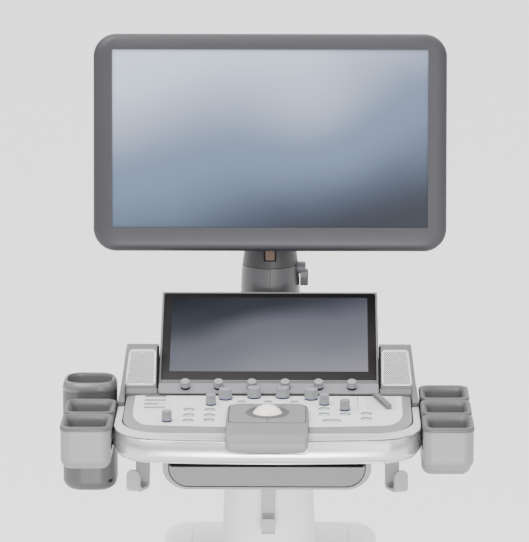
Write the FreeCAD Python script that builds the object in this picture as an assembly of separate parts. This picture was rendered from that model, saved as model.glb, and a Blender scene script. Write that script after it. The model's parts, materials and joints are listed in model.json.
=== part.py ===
import FreeCAD, Part
import math
import os

V = FreeCAD.Vector
UP = V(0, 0, 1)
ACROSS = V(1, 0, 0)

# Frame: +X to the user's right, +Y away from the user, +Z up, floor at z = 0, lift column at x = y = 0.

# --- fits ---------------------------------------------------------------------------------
GAP = 0.3              # clear space between pieces that move past each other
RUN = 0.05             # radial clearance of a shaft in its bore
SEAM = 0.3             # visible joint line between two halves
BEYOND = 400.0         # reach of a cutting block past every piece
SWEEP = 0.55           # pole length of a corner curve, as a share of the corner

# --- casters and base ---------------------------------------------------------------------
WHEEL_R = 50.0
WHEEL_W = 30.0
AXLE_R = 5.0
TRAIL = 26.0           # wheel axle behind the swivel axis
TYRE_ROUND = 6.0
FORK_CHEEK = 5.0
FORK_CROWN = 16.0
FORK_CROWN_R = 34.0
STEM_R = 11.0
CASTER_X = 222.0
CASTER_Y = 268.0
CHASSIS_Z = 126.0
CHASSIS_T = 20.0
BEAM_W = 74.0
SPINE_W = 190.0
BASE_W = 610.0
BASE_L = 700.0
BASE_CORNER_R = 120.0
SKIRT_Z = 112.0
SHOULDER_Z = 150.0     # where the cover starts to slope inwards
BASE_SLOPE_X = 56.0
BASE_SLOPE_Y = 40.0
BASE_EDGE_R = 16.0
BASE_TOP = 188.0
SHELL = 4.0            # wall of the large covers
COVER_WALL = 5.5       # wall of the base cover, which feet rest on
BOSS_R = 12.0

# --- electronics tower --------------------------------------------------------------------
TOWER_W = 330.0
TOWER_FRONT = -165.0
TOWER_BACK = 292.0
TOWER_TOP = 520.0
TOWER_CORNER_R = 44.0
TOWER_EDGE_R = 22.0
PAD_W = 240.0
PAD_L = 150.0
PAD_CORNER_R = 14.0
PAD_Y = 180.0
PAD_H = 1.5
VENT_COUNT = 9
VENT_PITCH = 14.0
VENT_W = 5.0
VENT_L = 150.0
VENT_FOOT = 50.0       # lowest slot above the base
VENT_BACK = 60.0       # from the back face to the slots
PORT_PANEL_W = 232.0
PORT_PANEL_H = 130.0
PORT_PANEL_Z = 385.0
PORT_PANEL_T = 8.0
PORT_COUNT = 4
PORT_PITCH = 54.0
PORT_W = 46.0
PORT_H = 84.0
PORT_WALL = 4.0
PORT_DEPTH = 16.0
PORT_PROUD = 3.0
PORT_ROUND = 5.0
INLET_X = 85.0
INLET_Z = 250.0
INLET_W = 52.0
INLET_H = 34.0
INLET_T = 24.0
INLET_WALL = 9.0       # beside the mouth
INLET_LIP = 8.0        # above and below the mouth
INLET_FLOOR = 6.0
INLET_PROUD = 2.0

# --- lift column --------------------------------------------------------------------------
MAST_W = 90.0
MAST_WALL = 6.0
GUIDE_WALL = 6.0
GUIDE_TOP = 668.0
MAST_FOOT = 200.0
MAST_SEAT = 20.0       # block in the console that the mast's top butts against
PEDESTAL_TOP = 690.0
PEDESTAL_FOOT_W = 142.6
PEDESTAL_TOP_W = 128.0
PEDESTAL_D = 140.0
PEDESTAL_ROUND = 44.0
PEDESTAL_FLARE = 8.0   # how much deeper the foot is than the top
MAST_CLEAR = 1.0
HOOK_W = 20.0
HOOK_T = 5.0
HOOK_REACH = 26.0
HOOK_TOP = 668.0
HOOK_FOOT = 596.0
HOOK_LIP = 24.0
HOOK_STAND = 4.0       # strap stands off the column
HOOK_CAP_H = 16.0

# --- console shell ------------------------------------------------------------------------
CONSOLE_Z = 746.0      # underside
CONSOLE_W = 416.0
CONSOLE_FRONT = -246.0
CONSOLE_BACK = 262.0
CONSOLE_WALL = 3.0
CONSOLE_CORNER = (44.0, 60.0)
INNER_BOW = 3.0        # how far the middle of a front edge stands out
OUTER_BOW = 9.0
REAR_W = 300.0         # narrower part behind the touch panel
REAR_START = 62.0
REAR_LAP = 20.0        # how far the rear part reaches into the front one
RAIL_W = 446.0
RAIL_FRONT = -300.0
RAIL_TOP = CONSOLE_Z + 39.5
RAIL_BOTTOM = CONSOLE_Z + 2.0
RAIL_SIDE_T = 12.0
RAIL_FRONT_T = 46.0
RAIL_ROUND = 13.0
RAIL_EDGE_R = 4.0
RAIL_CORNER = (58.0, 88.0)
RAIL_INNER_CORNER = (54.0, 78.0)
DECK_TILT = 3.5
DECK_Y = -71.0
DECK_Z = RAIL_TOP + 12.5
DECK_W = 418.0
DECK_FRONT = -244.0
DECK_BACK = -57.0
DECK_T = 15.4
DECK_FALL = 3.0        # the border drops this much to its outer edge
DECK_CORNER = (42.0, 68.0)
PLATE_W = 392.0
PLATE_FRONT = -226.0
PLATE_BACK = -66.0
PLATE_T = 3.0
PLATE_PROUD = 0.6
PLATE_CORNER = (26.0, 66.0)
PLATE_MARGIN = 0.4     # flat of the border around the plate
WELL_DEPTH = 9.0       # room under the plate
WELL_MARGIN = 2.0
SLOT_MARGIN = 4.0

# --- keys, knobs and trackball (plan positions x, y) -----------------------------------------
KEY_TRAVEL = 1.2
KEY_RISE = 4.0
KEY_EDGE_R = 1.0
ROUND_KEY_R = 8.25
ROUND_KEYS = [(-114.5, -140), (-114.5, -168.5), (-114.5, -196.4), (-84.1, -141), (-84.1, -168.7),
              (-84.1, -193.6), (81.8, -134), (81.8, -162), (112.5, -161.7), (143, -159.4), (142.6, -184.8)]
SMALL_KEY_R = 6.0
SMALL_KEYS = [(-38.5, -99), (0, -98.5), (38.5, -99)]
WIDE_KEY = (92.4, -195.5)
WIDE_KEY_L = 27.0
WIDE_KEY_W = 15.0
BAR_KEY_X = -165.5
BAR_KEY_Y = -73.5
BAR_KEY_PITCH = 19.0
BAR_KEY_L = 31.0
BAR_KEY_W = 9.0
BAR_KEY_COUNT = 4
BAR_KEY_R = 2.5
BIG_KNOB_R = 9.75
SMALL_KNOB_R = 7.25
KNOB_H = 17.0
KNOB_STEM_R = 3.0
KNOB_STEM_L = 9.0
KNOB_TAPER = 0.8
KNOB_EDGE_R = 1.2
BIG_KNOBS = {"gain_knob": (-63, -82.5), "depth_knob": (-21, -74.5),
             "zoom_knob": (21, -74.5), "focus_knob": (63, -82.5)}
SMALL_KNOBS = {"mode_knob": (-145, -198), "angle_knob": (-83.5, -113),
               "baseline_knob": (82, -111), "steer_knob": (112, -139)}
SLIDER_COUNT = 8
SLIDER_FIRST = (158.0, -73.0)
SLIDER_LAST = (175.4, -133.0)
SLIDER_L = 9.0
SLIDER_W = 4.2
SLIDER_H = 8.0
SLIDER_NECK = 1.8
SLIDER_NECK_L = 6.0
SLIDER_NECK_H = 6.0
SLIDER_EDGE = 1.2
SLIDER_SLOT = (143.0, 188.0)
BALL_R = 25.0
BALL_Y = -185.6
BALL_DROP = 12.2       # ball centre below the key tops
RING_R = 30.5
RING_RISE = 9.6
RING_LAP = 3.0
RING_EDGE_R = 1.5
BLOCK_W = 118.0
BLOCK_BACK = -138.0
BLOCK_RISE = 9.0
BLOCK_CORNER_R = 20.0
BLOCK_DEPTH = 34.0
CLICK_W = 104.0
CLICK_FRONT = -231.0
CLICK_BACK = -142.0
CLICK_SPREAD = 36.0
CLICK_FLOOR = 2.6
CLICK_SPLIT = 0.8      # line between two keys
PALM_FRONT = -303.0
PALM_EDGE_Z = DECK_Z - 6.0
PALM_FOOT_Z = DECK_Z - 32.0

# --- touch panel --------------------------------------------------------------------------
TOUCH_TILT = 30.0
TOUCH_Y = -20.0
TOUCH_Z = DECK_Z + 27.0
TOUCH_VIEW_H = 165.7
TOUCH_BELOW = 18.6
TOUCH_ABOVE = 10.0
GLASS_W = 319.0
GLASS_T = 2.2
GLASS_FIT = 0.2
TOUCH_RIM = 3.0
TOUCH_T = 22.0
STRIP_FRONT = (-61.0, DECK_Z + 3.5)
STRIP_BACK = (-38.5, DECK_Z + 13.5)
STRIP_FOOT_Z = DECK_Z + 1.8
SOFT_KNOB_R = 6.75
SOFT_KNOB_COUNT = 6
SOFT_KNOB_PITCH = 49.1
SOFT_KNOB_INSET = 11.5
SOFT_KNOB_H = 15.0
SOFT_STEM_L = 4.0
SOFT_BORE_L = 6.0

# --- speaker pods -------------------------------------------------------------------------
POD_INNER = 164.5
POD_OUTER = 213.0
POD_FRONT = -54.0
POD_TOP_FRONT = -5.0
POD_TOP_BACK = 14.0
POD_TOP = DECK_Z + 64.5
POD_BACK = 61.0
POD_ROUND = 5.0
CHEEK_FRONT = -82.0    # where the flared cheek lands on the rail
CHEEK_GAP = 1.5
CHEEK_LIP = 7.0
CHEEK_RISE = 40.0
GRILLE_W = 41.0
GRILLE_L = 58.0
GRILLE_T = 1.6
GRILLE_R = 7.0
REAR_DECK_TOP = RAIL_TOP + 16.5
REAR_CLEAR = 1.4       # between the sloping deck's back edge and the rear housing
WEDGE_TOP_Y = 140.0

# --- keyboard drawer ----------------------------------------------------------------------
BAY_W = 298.0
BAY_FOOT_W = 224.0
BAY_FOOT_Z = CONSOLE_Z - 42.0
BAY_KNEE_Z = CONSOLE_Z - 11.0     # where the side starts to curve under
BAY_FRONT = -258.0
BAY_BACK = -50.0
BAY_SIDE = 8.0
BAY_WALL = 3.4
DRAWER_GAP = 0.8
DRAWER_TOP = CONSOLE_Z - 8.0
DRAWER_WALL = 3.0
DRAWER_FACE = 6.0
DRAWER_SET = 2.0       # drawer front behind the surround's edge
SHELF_T = 3.0
SHELF_MARGIN = 4.0
KEYBOARD_W = 228.0
KEYBOARD_L = 128.0
KEYBOARD_T = 9.0
KEYBOARD_SET = 8.0     # board behind the drawer's face
KEYBOARD_EDGE = 2.0
KEYBOARD_Z = BAY_FOOT_Z + 16.0

# --- probe holders ------------------------------------------------------------------------
CUP_X = 259.5
CUP_W = 72.0
CUP_L = 90.0
CUP_Y = [-215.0, -117.0, -19.0]
CUP_TOP = RAIL_TOP + 3.5
CUP_DEPTHS_RIGHT = [57.0, 88.0, 57.0]
CUP_DEPTHS_LEFT = [57.0, 57.0]
CUP_OPEN_W = 58.0
CUP_OPEN_L = 75.0
CUP_CORNER_R = 15.0
CUP_INNER_R = 12.0
CUP_TAPER = 7.5        # the floor is this much inside the mouth
CUP_FOOT_R = 14.0
CUP_FLOOR = 5.0
LINER_T = 1.4
LINER_LIP_H = 6.0
LINER_LIP = 0.7
LINER_DEPTH = 24.0
LINER_FIT = 0.2
LINER_EDGE_R = 1.6
HOLDER_BAR_T = 5.0
HOLDER_BAR_Z = CUP_TOP - 29.0
HOLDER_BAR_H = 12.0
HOLDER_BAR_SET = 12.0  # bar ends inside the outer cups
WARMER_X = -265.0
WARMER_W = 80.0
WARMER_L = 84.0
WARMER_CORNER_R = 30.0
WARMER_FOOT = CUP_TOP - 139.0
WARMER_TOP = CUP_TOP + 6.0
WARMER_WALL = 11.0
WARMER_ROUND = 16.0
COLLAR_H = 20.0
COLLAR_SLOPE = 6.0
COLLAR_EDGE_R = 3.0
CABLE_HOOK_X = 179.0
CABLE_HOOK_Y = -192.0
CABLE_HOOK_W = 21.0
CABLE_HOOK_T = 4.5
CABLE_HOOK_REACH = 36.0
CABLE_HOOK_FOOT = CONSOLE_Z - 54.0
CABLE_HOOK_LIP = 32.0
CABLE_HOOK_YAW = 23.0

# --- rear handle --------------------------------------------------------------------------
HANDLE_R = 13.0
HANDLE_W = 250.0
HANDLE_Y = 330.0
HANDLE_Z = CONSOLE_Z + 30.0
HANDLE_BEND = 34.0

# --- neck and monitor ---------------------------------------------------------------------
NECK_Y = 202.0
NECK_RIM = REAR_DECK_TOP + 144.0
NECK_SECTIONS = [(REAR_DECK_TOP, 50.0, 54.0), (NECK_RIM - 44.0, 43.8, 49.0),
                 (NECK_RIM, 41.0, 46.0)]   # z, half width, half depth
NECK_WALL = 4.0
NECK_CREASE = 0.05     # how far the front and back edges come to a point
STEM_HEAD_R = 20.0
STEM_HEAD_L = 46.0
HEAD_SECTIONS = [(NECK_RIM + 0.4, 40.6, 45.5), (NECK_RIM + 29.0, 37.0, 41.0),
                 (NECK_RIM + 38.0, 31.0, 34.0)]
HEAD_SLOT_W = 18.0
HEAD_SLOT_Z = NECK_RIM + 14.0
EAR_T = 12.0
EAR_R = 16.0
TILT_Z = NECK_RIM + 49.0
TILT_Y = 196.0
TILT_PIN_R = 7.0
LEVER_Z = NECK_RIM - 9.0
LEVER_Y = 195.0
LEVER_HUB_R = 8.8
LEVER_HUB_L = 12.0
LEVER_SHAFT_R = 4.0
LEVER_SHAFT_L = 12.0
LEVER_W = 15.0
LEVER_T = 9.0
LEVER_L = 27.0
LEVER_EDGE_R = 3.0
LEVER_CLEAR = 1.0      # between the neck's side and the hub
LEVER_SHAFT_LAP = 3.0  # how far the shaft reaches into the hub
LEVER_END_GAP = 0.5
LEVER_BORE_L = 16.0
MONITOR_TILT = 8.0
MONITOR_Y = 140.0
MONITOR_Z = TILT_Z + 153.5
SCREEN_W = 476.0
SCREEN_H = 268.0
BEZEL_SIDE = 28.5
BEZEL_FOOT = 36.0
BEZEL_HEAD = 24.0
BEZEL_R = 35.0
BEZEL_T = 24.0
BEZEL_ROUND = 9.0
BACK_INSET = 22.0
BACK_DEPTH = 24.0
BACK_TAPER = 34.0
PANEL_T = 9.0
PANEL_SET = 3.0        # panel behind the bezel's face
PANEL_LAP = 5.0        # panel behind the bezel's inner edge
PANEL_FIT = 1.0
PLATE_VESA = 110.0
BRACKET_T = 6.0
BRACKET_ARM_W = 13.4


# --- helpers ------------------------------------------------------------------------------
def box(x0, x1, y0, y1, z0, z1):
    """Upright box between two corners."""
    return Part.makeBox(x1 - x0, y1 - y0, z1 - z0, V(x0, y0, z0))


def rod(radius, length, base, axis):
    """Round bar."""
    return Part.makeCylinder(radius, length, base, axis)


def prism(points, z0, z1):
    """Upright prism on a plan outline of (x, y) points."""
    corners = [V(x, y, z0) for x, y in points]
    return Part.Face(Part.makePolygon(corners + corners[:1])).extrude(V(0, 0, z1 - z0))


def slab(profile, x0, x1):
    """Prism along X on a side profile of (y, z) points."""
    corners = [V(x0, y, z) for y, z in profile]
    return Part.Face(Part.makePolygon(corners + corners[:1])).extrude(V(x1 - x0, 0, 0))


def run(profile, y0, y1):
    """Prism along Y on a front profile of (x, z) points."""
    corners = [V(x, y0, z) for x, z in profile]
    return Part.Face(Part.makePolygon(corners + corners[:1])).extrude(V(0, y1 - y0, 0))


def edges_along(shape, axis):
    """Straight edges parallel to an axis."""
    found = []
    for edge in shape.Edges:
        if isinstance(edge.Curve, Part.Line) and abs(edge.tangentAt(edge.FirstParameter).dot(axis)) > 0.999:
            found.append(edge)
    return found


def edges_at(shape, z):
    """Edges that lie wholly at one height."""
    return [e for e in shape.Edges if abs(e.BoundBox.ZMin - z) < 0.01 and abs(e.BoundBox.ZMax - z) < 0.01]


def rounded_wire(width, length, radius, z, x=0.0, y=0.0):
    """Level rounded rectangle about (x, y)."""
    hx = width / 2 - radius
    hy = length / 2 - radius
    edges = []
    for sx, sy, turn in ((1, 1, 0), (-1, 1, 90), (-1, -1, 180), (1, -1, 270)):
        centre = V(x + sx * hx, y + sy * hy, z)
        edges.append(Part.makeCircle(radius, centre, UP, turn, turn + 90))
    wires = []
    for i, arc in enumerate(edges):
        wires.append(arc)
        start = arc.valueAt(arc.LastParameter)
        end = edges[(i + 1) % 4].valueAt(edges[(i + 1) % 4].FirstParameter)
        wires.append(Part.makeLine(start, end))
    return Part.Wire(wires)


def rounded_box(width, length, radius, z0, z1, x=0.0, y=0.0):
    """Upright block with rounded corners in plan."""
    return Part.Face(rounded_wire(width, length, radius, z0, x, y)).extrude(V(0, 0, z1 - z0))


def lens_wire(half_w, half_d, z):
    """Oval about the neck's axis with a soft crease at front and back."""
    edges = []
    for sx, sy in ((1, -1), (1, 1), (-1, 1), (-1, -1)):
        tip = V(0, NECK_Y + sy * half_d, z)
        side = V(sx * half_w, NECK_Y, z)
        quarter = Part.BezierCurve()
        tip_pole = V(sx * half_w * SWEEP, NECK_Y + sy * half_d * (1 - NECK_CREASE), z)
        side_pole = V(sx * half_w, NECK_Y + sy * half_d * SWEEP, z)
        poles = [tip, tip_pole, side_pole, side]
        quarter.setPoles(poles if sx * sy < 0 else poles[::-1])
        edges.append(quarter.toShape())
    return Part.Wire(edges)


def console_wire(width, front, corner, back, bow, z):
    """Console outline: straight sides and back, swept front corners and a bowed front."""
    corner_x, corner_y = corner
    h = width / 2
    side_y = front + bow + corner_y
    turn_x = h - corner_x
    slope = 2 * bow / turn_x
    poles = [V(h, side_y, z), V(h, side_y - SWEEP * corner_y, z),
             V(turn_x + SWEEP * corner_x, front + bow + SWEEP * corner_x * slope, z),
             V(turn_x, front + bow, z)]
    right = Part.BezierCurve()
    right.setPoles(poles[::-1])
    left = Part.BezierCurve()
    left.setPoles([V(-p.x, p.y, p.z) for p in poles])
    edges = [
        Part.makeLine(V(h, back, z), V(-h, back, z)),
        Part.makeLine(V(-h, back, z), V(-h, side_y, z)),
        left.toShape(),
        Part.Arc(V(-turn_x, front + bow, z), V(0, front, z), V(turn_x, front + bow, z)).toShape(),
        right.toShape(),
        Part.makeLine(V(h, side_y, z), V(h, back, z)),
    ]
    return Part.Wire(edges)


def lifted(wire, height):
    """Solid prism standing on a level wire."""
    return Part.Face(wire).extrude(V(0, 0, height))


def turned(shape, angle, y, z):
    """Copy turned about an axis along X through (y, z)."""
    copy = shape.copy()
    copy.rotate(V(0, y, z), ACROSS, angle)
    return copy


def on_deck(shape):
    """Lay a shape, drawn level with z = 0 as the key plate's top, on the sloping deck."""
    copy = shape.copy()
    copy.translate(V(0, 0, DECK_Z))
    return turned(copy, DECK_TILT, DECK_Y, DECK_Z)


def mirrored(shape):
    """Copy on the other side of the machine."""
    return shape.mirror(V(0, 0, 0), ACROSS)


def deck_height(y):
    """Height of the key plate's top at y."""
    return DECK_Z + (y - DECK_Y) * math.tan(math.radians(DECK_TILT))


# --- base -----------------------------------------------------------------------------------
def caster_places():
    """Name and place of each caster's swivel axis."""
    return {"front_left": (-CASTER_X, -CASTER_Y), "front_right": (CASTER_X, -CASTER_Y),
            "rear_left": (-CASTER_X, CASTER_Y), "rear_right": (CASTER_X, CASTER_Y)}


def base_chassis():
    end = CASTER_Y + BEAM_W / 2
    reach = CASTER_X + BEAM_W / 2
    frame = box(-SPINE_W / 2, SPINE_W / 2, -end, end, CHASSIS_Z, CHASSIS_Z + CHASSIS_T)
    for y in (-CASTER_Y, CASTER_Y):
        beam = box(-reach, reach, y - BEAM_W / 2, y + BEAM_W / 2, CHASSIS_Z, CHASSIS_Z + CHASSIS_T)
        frame = frame.fuse(beam)
    for x, y in caster_places().values():
        frame = frame.cut(rod(STEM_R + RUN, CHASSIS_T, V(x, y, CHASSIS_Z), UP))
    return frame.removeSplitter()


def cover_form(inset):
    """Solid form of the base cover: upright skirt, then a slope up to a flat top."""
    width = BASE_W - 2 * inset
    length = BASE_L - 2 * inset
    radius = BASE_CORNER_R - inset
    skirt = rounded_box(width, length, radius, SKIRT_Z, SHOULDER_Z)
    shoulder = rounded_wire(width, length, radius, SHOULDER_Z)
    crest = rounded_wire(width - 2 * BASE_SLOPE_X, length - 2 * BASE_SLOPE_Y, radius - BASE_SLOPE_Y / 2,
                         BASE_TOP - inset)
    return skirt.fuse(Part.makeLoft([shoulder, crest], True, True)).removeSplitter()


def base_cover():
    outer = cover_form(0)
    for z in (SHOULDER_Z, BASE_TOP):
        outer = outer.makeFillet(BASE_EDGE_R, edges_at(outer, z))
    cover = outer.cut(cover_form(COVER_WALL))
    deck = CHASSIS_Z + CHASSIS_T
    for x in (-CASTER_X + BEAM_W, CASTER_X - BEAM_W):
        for y in (-CASTER_Y, CASTER_Y):
            cover = cover.fuse(rod(BOSS_R, BASE_TOP - COVER_WALL - deck, V(x, y, deck), UP))
    guide = MAST_W + 2 * GAP + 2 * GUIDE_WALL + 2 * GAP
    return cover.cut(box(-guide / 2, guide / 2, -guide / 2, guide / 2, SKIRT_Z, BASE_TOP)).removeSplitter()


def caster_fork(x, y):
    crown_z = CHASSIS_Z - GAP
    crown = rod(FORK_CROWN_R, FORK_CROWN, V(x, y, crown_z - FORK_CROWN), UP)
    stem = rod(STEM_R, CHASSIS_T, V(x, y, crown_z), UP)
    fork = crown.fuse(stem)
    inside = WHEEL_W / 2 + GAP * 2
    cheek = slab([(y - 18, crown_z - 4), (y + 20, crown_z - 4), (y + TRAIL + 14, WHEEL_R - 10),
                  (y + TRAIL - 12, WHEEL_R - 12)], x + inside, x + inside + FORK_CHEEK)
    for side in (0, -2 * inside - FORK_CHEEK):
        copy = cheek.copy()
        copy.translate(V(side, 0, 0))
        fork = fork.fuse(copy)
    axle = rod(AXLE_R, 2 * (inside + FORK_CHEEK), V(x - inside - FORK_CHEEK, y + TRAIL, WHEEL_R), ACROSS)
    return fork.fuse(axle).removeSplitter()


def caster_wheel(x, y):
    start = V(x - WHEEL_W / 2, y + TRAIL, WHEEL_R)
    wheel = rod(WHEEL_R, WHEEL_W, start, ACROSS)
    rims = [e for e in wheel.Edges if e.BoundBox.YLength > WHEEL_R and e.BoundBox.XLength < 0.01]
    wheel = wheel.makeFillet(TYRE_ROUND, rims)
    return wheel.cut(rod(AXLE_R + RUN, WHEEL_W, start, ACROSS))


# --- electronics tower ----------------------------------------------------------------------
def tower_block(inset):
    """Solid form of the tower, drawn in by a wall."""
    depth = TOWER_BACK - TOWER_FRONT
    middle = (TOWER_BACK + TOWER_FRONT) / 2
    top = TOWER_TOP - inset
    block = rounded_box(TOWER_W - 2 * inset, depth - 2 * inset, TOWER_CORNER_R - inset, BASE_TOP, top,
                        0, middle)
    return block.makeFillet(TOWER_EDGE_R - inset, edges_at(block, top))


def electronics_case():
    case = tower_block(0).cut(tower_block(SHELL))
    guide = MAST_W + 2 * GAP + 2 * GUIDE_WALL + 2 * GAP
    case = case.cut(box(-guide / 2, guide / 2, -guide / 2, guide / 2, TOWER_TOP - SHELL, TOWER_TOP))
    half = PORT_PANEL_W / 2 + GAP
    low = PORT_PANEL_Z - PORT_PANEL_H / 2 - GAP
    high = PORT_PANEL_Z + PORT_PANEL_H / 2 + GAP
    case = case.cut(box(-half, half, TOWER_FRONT, TOWER_FRONT + SHELL, low, high))
    case = case.cut(box(INLET_X - INLET_W / 2, INLET_X + INLET_W / 2, TOWER_BACK - SHELL, TOWER_BACK,
                        INLET_Z - INLET_H / 2, INLET_Z + INLET_H / 2))
    for i in range(VENT_COUNT):
        z = BASE_TOP + VENT_FOOT + i * VENT_PITCH
        y0 = TOWER_BACK - VENT_L - VENT_BACK
        case = case.cut(box(-TOWER_W / 2, TOWER_W / 2, y0, y0 + VENT_L, z, z + VENT_W))
    return case.fuse(tray_pad()).removeSplitter()


def tray_pad():
    """Raised flat on the tower's top, where a printer or tray stands."""
    return rounded_box(PAD_W, PAD_L, PAD_CORNER_R, TOWER_TOP - SHELL / 2, TOWER_TOP + PAD_H, 0, PAD_Y)


def port_panel():
    half = PORT_PANEL_W / 2
    low = PORT_PANEL_Z - PORT_PANEL_H / 2
    panel = box(-half, half, TOWER_FRONT, TOWER_FRONT + PORT_PANEL_T, low, low + PORT_PANEL_H)
    hole_w = PORT_W / 2 + GAP
    hole_h = PORT_H / 2 + GAP
    for x in port_places():
        panel = panel.cut(box(x - hole_w, x + hole_w, TOWER_FRONT, TOWER_FRONT + PORT_PANEL_T,
                              PORT_PANEL_Z - hole_h, PORT_PANEL_Z + hole_h))
    return panel


def port_places():
    """Centre line of each probe port."""
    return [(i - (PORT_COUNT - 1) / 2) * PORT_PITCH for i in range(PORT_COUNT)]


def probe_sockets():
    sockets = []
    for x in port_places():
        front = TOWER_FRONT - PORT_PROUD
        shell = box(x - PORT_W / 2, x + PORT_W / 2, front, front + PORT_DEPTH + PORT_WALL,
                    PORT_PANEL_Z - PORT_H / 2, PORT_PANEL_Z + PORT_H / 2)
        shell = shell.makeFillet(PORT_ROUND, edges_along(shell, V(0, 1, 0)))
        hollow = box(x - PORT_W / 2 + PORT_WALL, x + PORT_W / 2 - PORT_WALL, front, front + PORT_DEPTH,
                     PORT_PANEL_Z - PORT_H / 2 + PORT_WALL, PORT_PANEL_Z + PORT_H / 2 - PORT_WALL)
        sockets.append(shell.cut(hollow))
    return Part.makeCompound(sockets)


def power_inlet():
    back = TOWER_BACK + INLET_PROUD
    body = box(INLET_X - INLET_W / 2, INLET_X + INLET_W / 2, back - INLET_T, back,
               INLET_Z - INLET_H / 2, INLET_Z + INLET_H / 2)
    half_w = INLET_W / 2 - INLET_WALL
    half_h = INLET_H / 2 - INLET_LIP
    mouth = box(INLET_X - half_w, INLET_X + half_w, back - INLET_T + INLET_FLOOR, back,
                INLET_Z - half_h, INLET_Z + half_h)
    return body.cut(mouth)


# --- lift column ----------------------------------------------------------------------------
def square_tube(width, wall, z0, z1):
    h = width / 2
    i = h - wall
    return box(-h, h, -h, h, z0, z1).cut(box(-i, i, -i, i, z0, z1))


def guide_tube():
    width = MAST_W + 2 * GAP + 2 * GUIDE_WALL
    return square_tube(width, GUIDE_WALL, CHASSIS_Z + CHASSIS_T, GUIDE_TOP)


def mast():
    return square_tube(MAST_W, MAST_WALL, MAST_FOOT, CONSOLE_Z)


def pedestal_form(inset, top):
    """Solid form of the column's cover, drawn in by a wall."""
    foot = rounded_wire(PEDESTAL_FOOT_W - 2 * inset, PEDESTAL_D + PEDESTAL_FLARE - 2 * inset,
                        PEDESTAL_ROUND - inset, TOWER_TOP)
    head = rounded_wire(PEDESTAL_TOP_W - 2 * inset, PEDESTAL_D - 2 * inset, PEDESTAL_ROUND - inset, top)
    return Part.makeLoft([foot, head], True, True)


def pedestal_cover():
    cover = pedestal_form(0, PEDESTAL_TOP).cut(pedestal_form(SHELL, PEDESTAL_TOP - SHELL))
    half = MAST_W / 2 + MAST_CLEAR
    return cover.cut(box(-half, half, -half, half, PEDESTAL_TOP - SHELL, PEDESTAL_TOP))


def hook_profile(y, top, foot, reach, lip, thick):
    """J shape in side view: strap at y, opening towards the user."""
    front = y - reach
    return [(y, top), (y, foot + thick), (y - thick, foot), (front + thick, foot), (front, foot + thick),
            (front, foot + lip), (front + thick, foot + lip), (front + thick, foot + 2 * thick),
            (front + 2 * thick, foot + thick), (y - 2 * thick, foot + thick), (y - thick, foot + 2 * thick),
            (y - thick, top)]


def front_hook():
    y = -PEDESTAL_D / 2 - HOOK_STAND
    hook = slab(hook_profile(y, HOOK_TOP, HOOK_FOOT, HOOK_REACH, HOOK_LIP, HOOK_T), -HOOK_W / 2, HOOK_W / 2)
    cap = box(-HOOK_W / 2, HOOK_W / 2, y, 0, HOOK_TOP - HOOK_CAP_H, HOOK_TOP)
    return hook.fuse(cap.cut(pedestal_form(0, PEDESTAL_TOP))).removeSplitter()


# --- console shell --------------------------------------------------------------------------
def above_deck_floor(y0, y1, drop):
    """Large block whose underside is parallel to the deck and this far below it."""
    return on_deck(box(-RAIL_W, RAIL_W, y0, y1, -drop, BEYOND))


def console_base():
    height = RAIL_TOP - SEAM - CONSOLE_Z
    outer_wire = console_wire(CONSOLE_W, CONSOLE_FRONT, CONSOLE_CORNER, REAR_START, INNER_BOW, CONSOLE_Z)
    front = lifted(outer_wire, height)
    rear = box(-REAR_W / 2, REAR_W / 2, REAR_START - REAR_LAP, CONSOLE_BACK, CONSOLE_Z, RAIL_TOP - SEAM)
    inner_wire = console_wire(CONSOLE_W - 2 * CONSOLE_WALL, CONSOLE_FRONT + CONSOLE_WALL, CONSOLE_CORNER,
                              REAR_START - CONSOLE_WALL, INNER_BOW, CONSOLE_Z + CONSOLE_WALL)
    pocket = lifted(inner_wire, height)
    rear_pocket = box(-REAR_W / 2 + CONSOLE_WALL, REAR_W / 2 - CONSOLE_WALL, REAR_START - REAR_LAP,
                      CONSOLE_BACK - CONSOLE_WALL, CONSOLE_Z + CONSOLE_WALL, RAIL_TOP)
    socket = box(-MAST_W / 2, MAST_W / 2, -MAST_W / 2, MAST_W / 2, CONSOLE_Z, CONSOLE_Z + MAST_SEAT)
    shell = front.fuse(rear).cut(pocket).cut(rear_pocket).fuse(socket)
    shell = shell.cut(above_deck_floor(-BEYOND, DECK_BACK + SEAM, DECK_T + PLATE_PROUD + SEAM))
    return shell.cut(palm_block(GAP)).removeSplitter()


def console_rail():
    back = REAR_START
    height = RAIL_TOP - RAIL_BOTTOM
    outer = lifted(console_wire(RAIL_W, RAIL_FRONT, RAIL_CORNER, back, OUTER_BOW, RAIL_BOTTOM), height)
    lower = [e for e in edges_at(outer, RAIL_BOTTOM) if e.BoundBox.YMin < back - 1]
    outer = outer.makeFillet(RAIL_ROUND, lower)
    upper = [e for e in edges_at(outer, RAIL_TOP) if e.BoundBox.YMin < back - 1]
    outer = outer.makeFillet(RAIL_EDGE_R, upper)
    inner_wire = console_wire(RAIL_W - 2 * RAIL_SIDE_T, RAIL_FRONT + RAIL_FRONT_T, RAIL_INNER_CORNER, back,
                              INNER_BOW, RAIL_BOTTOM)
    return outer.cut(lifted(inner_wire, height)).cut(palm_block(GAP))


def plate_wire(z, grow=0.0):
    """Outline of the key plate."""
    width = PLATE_W + 2 * grow
    return console_wire(width, PLATE_FRONT - grow, PLATE_CORNER, PLATE_BACK + grow, OUTER_BOW, z)


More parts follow.
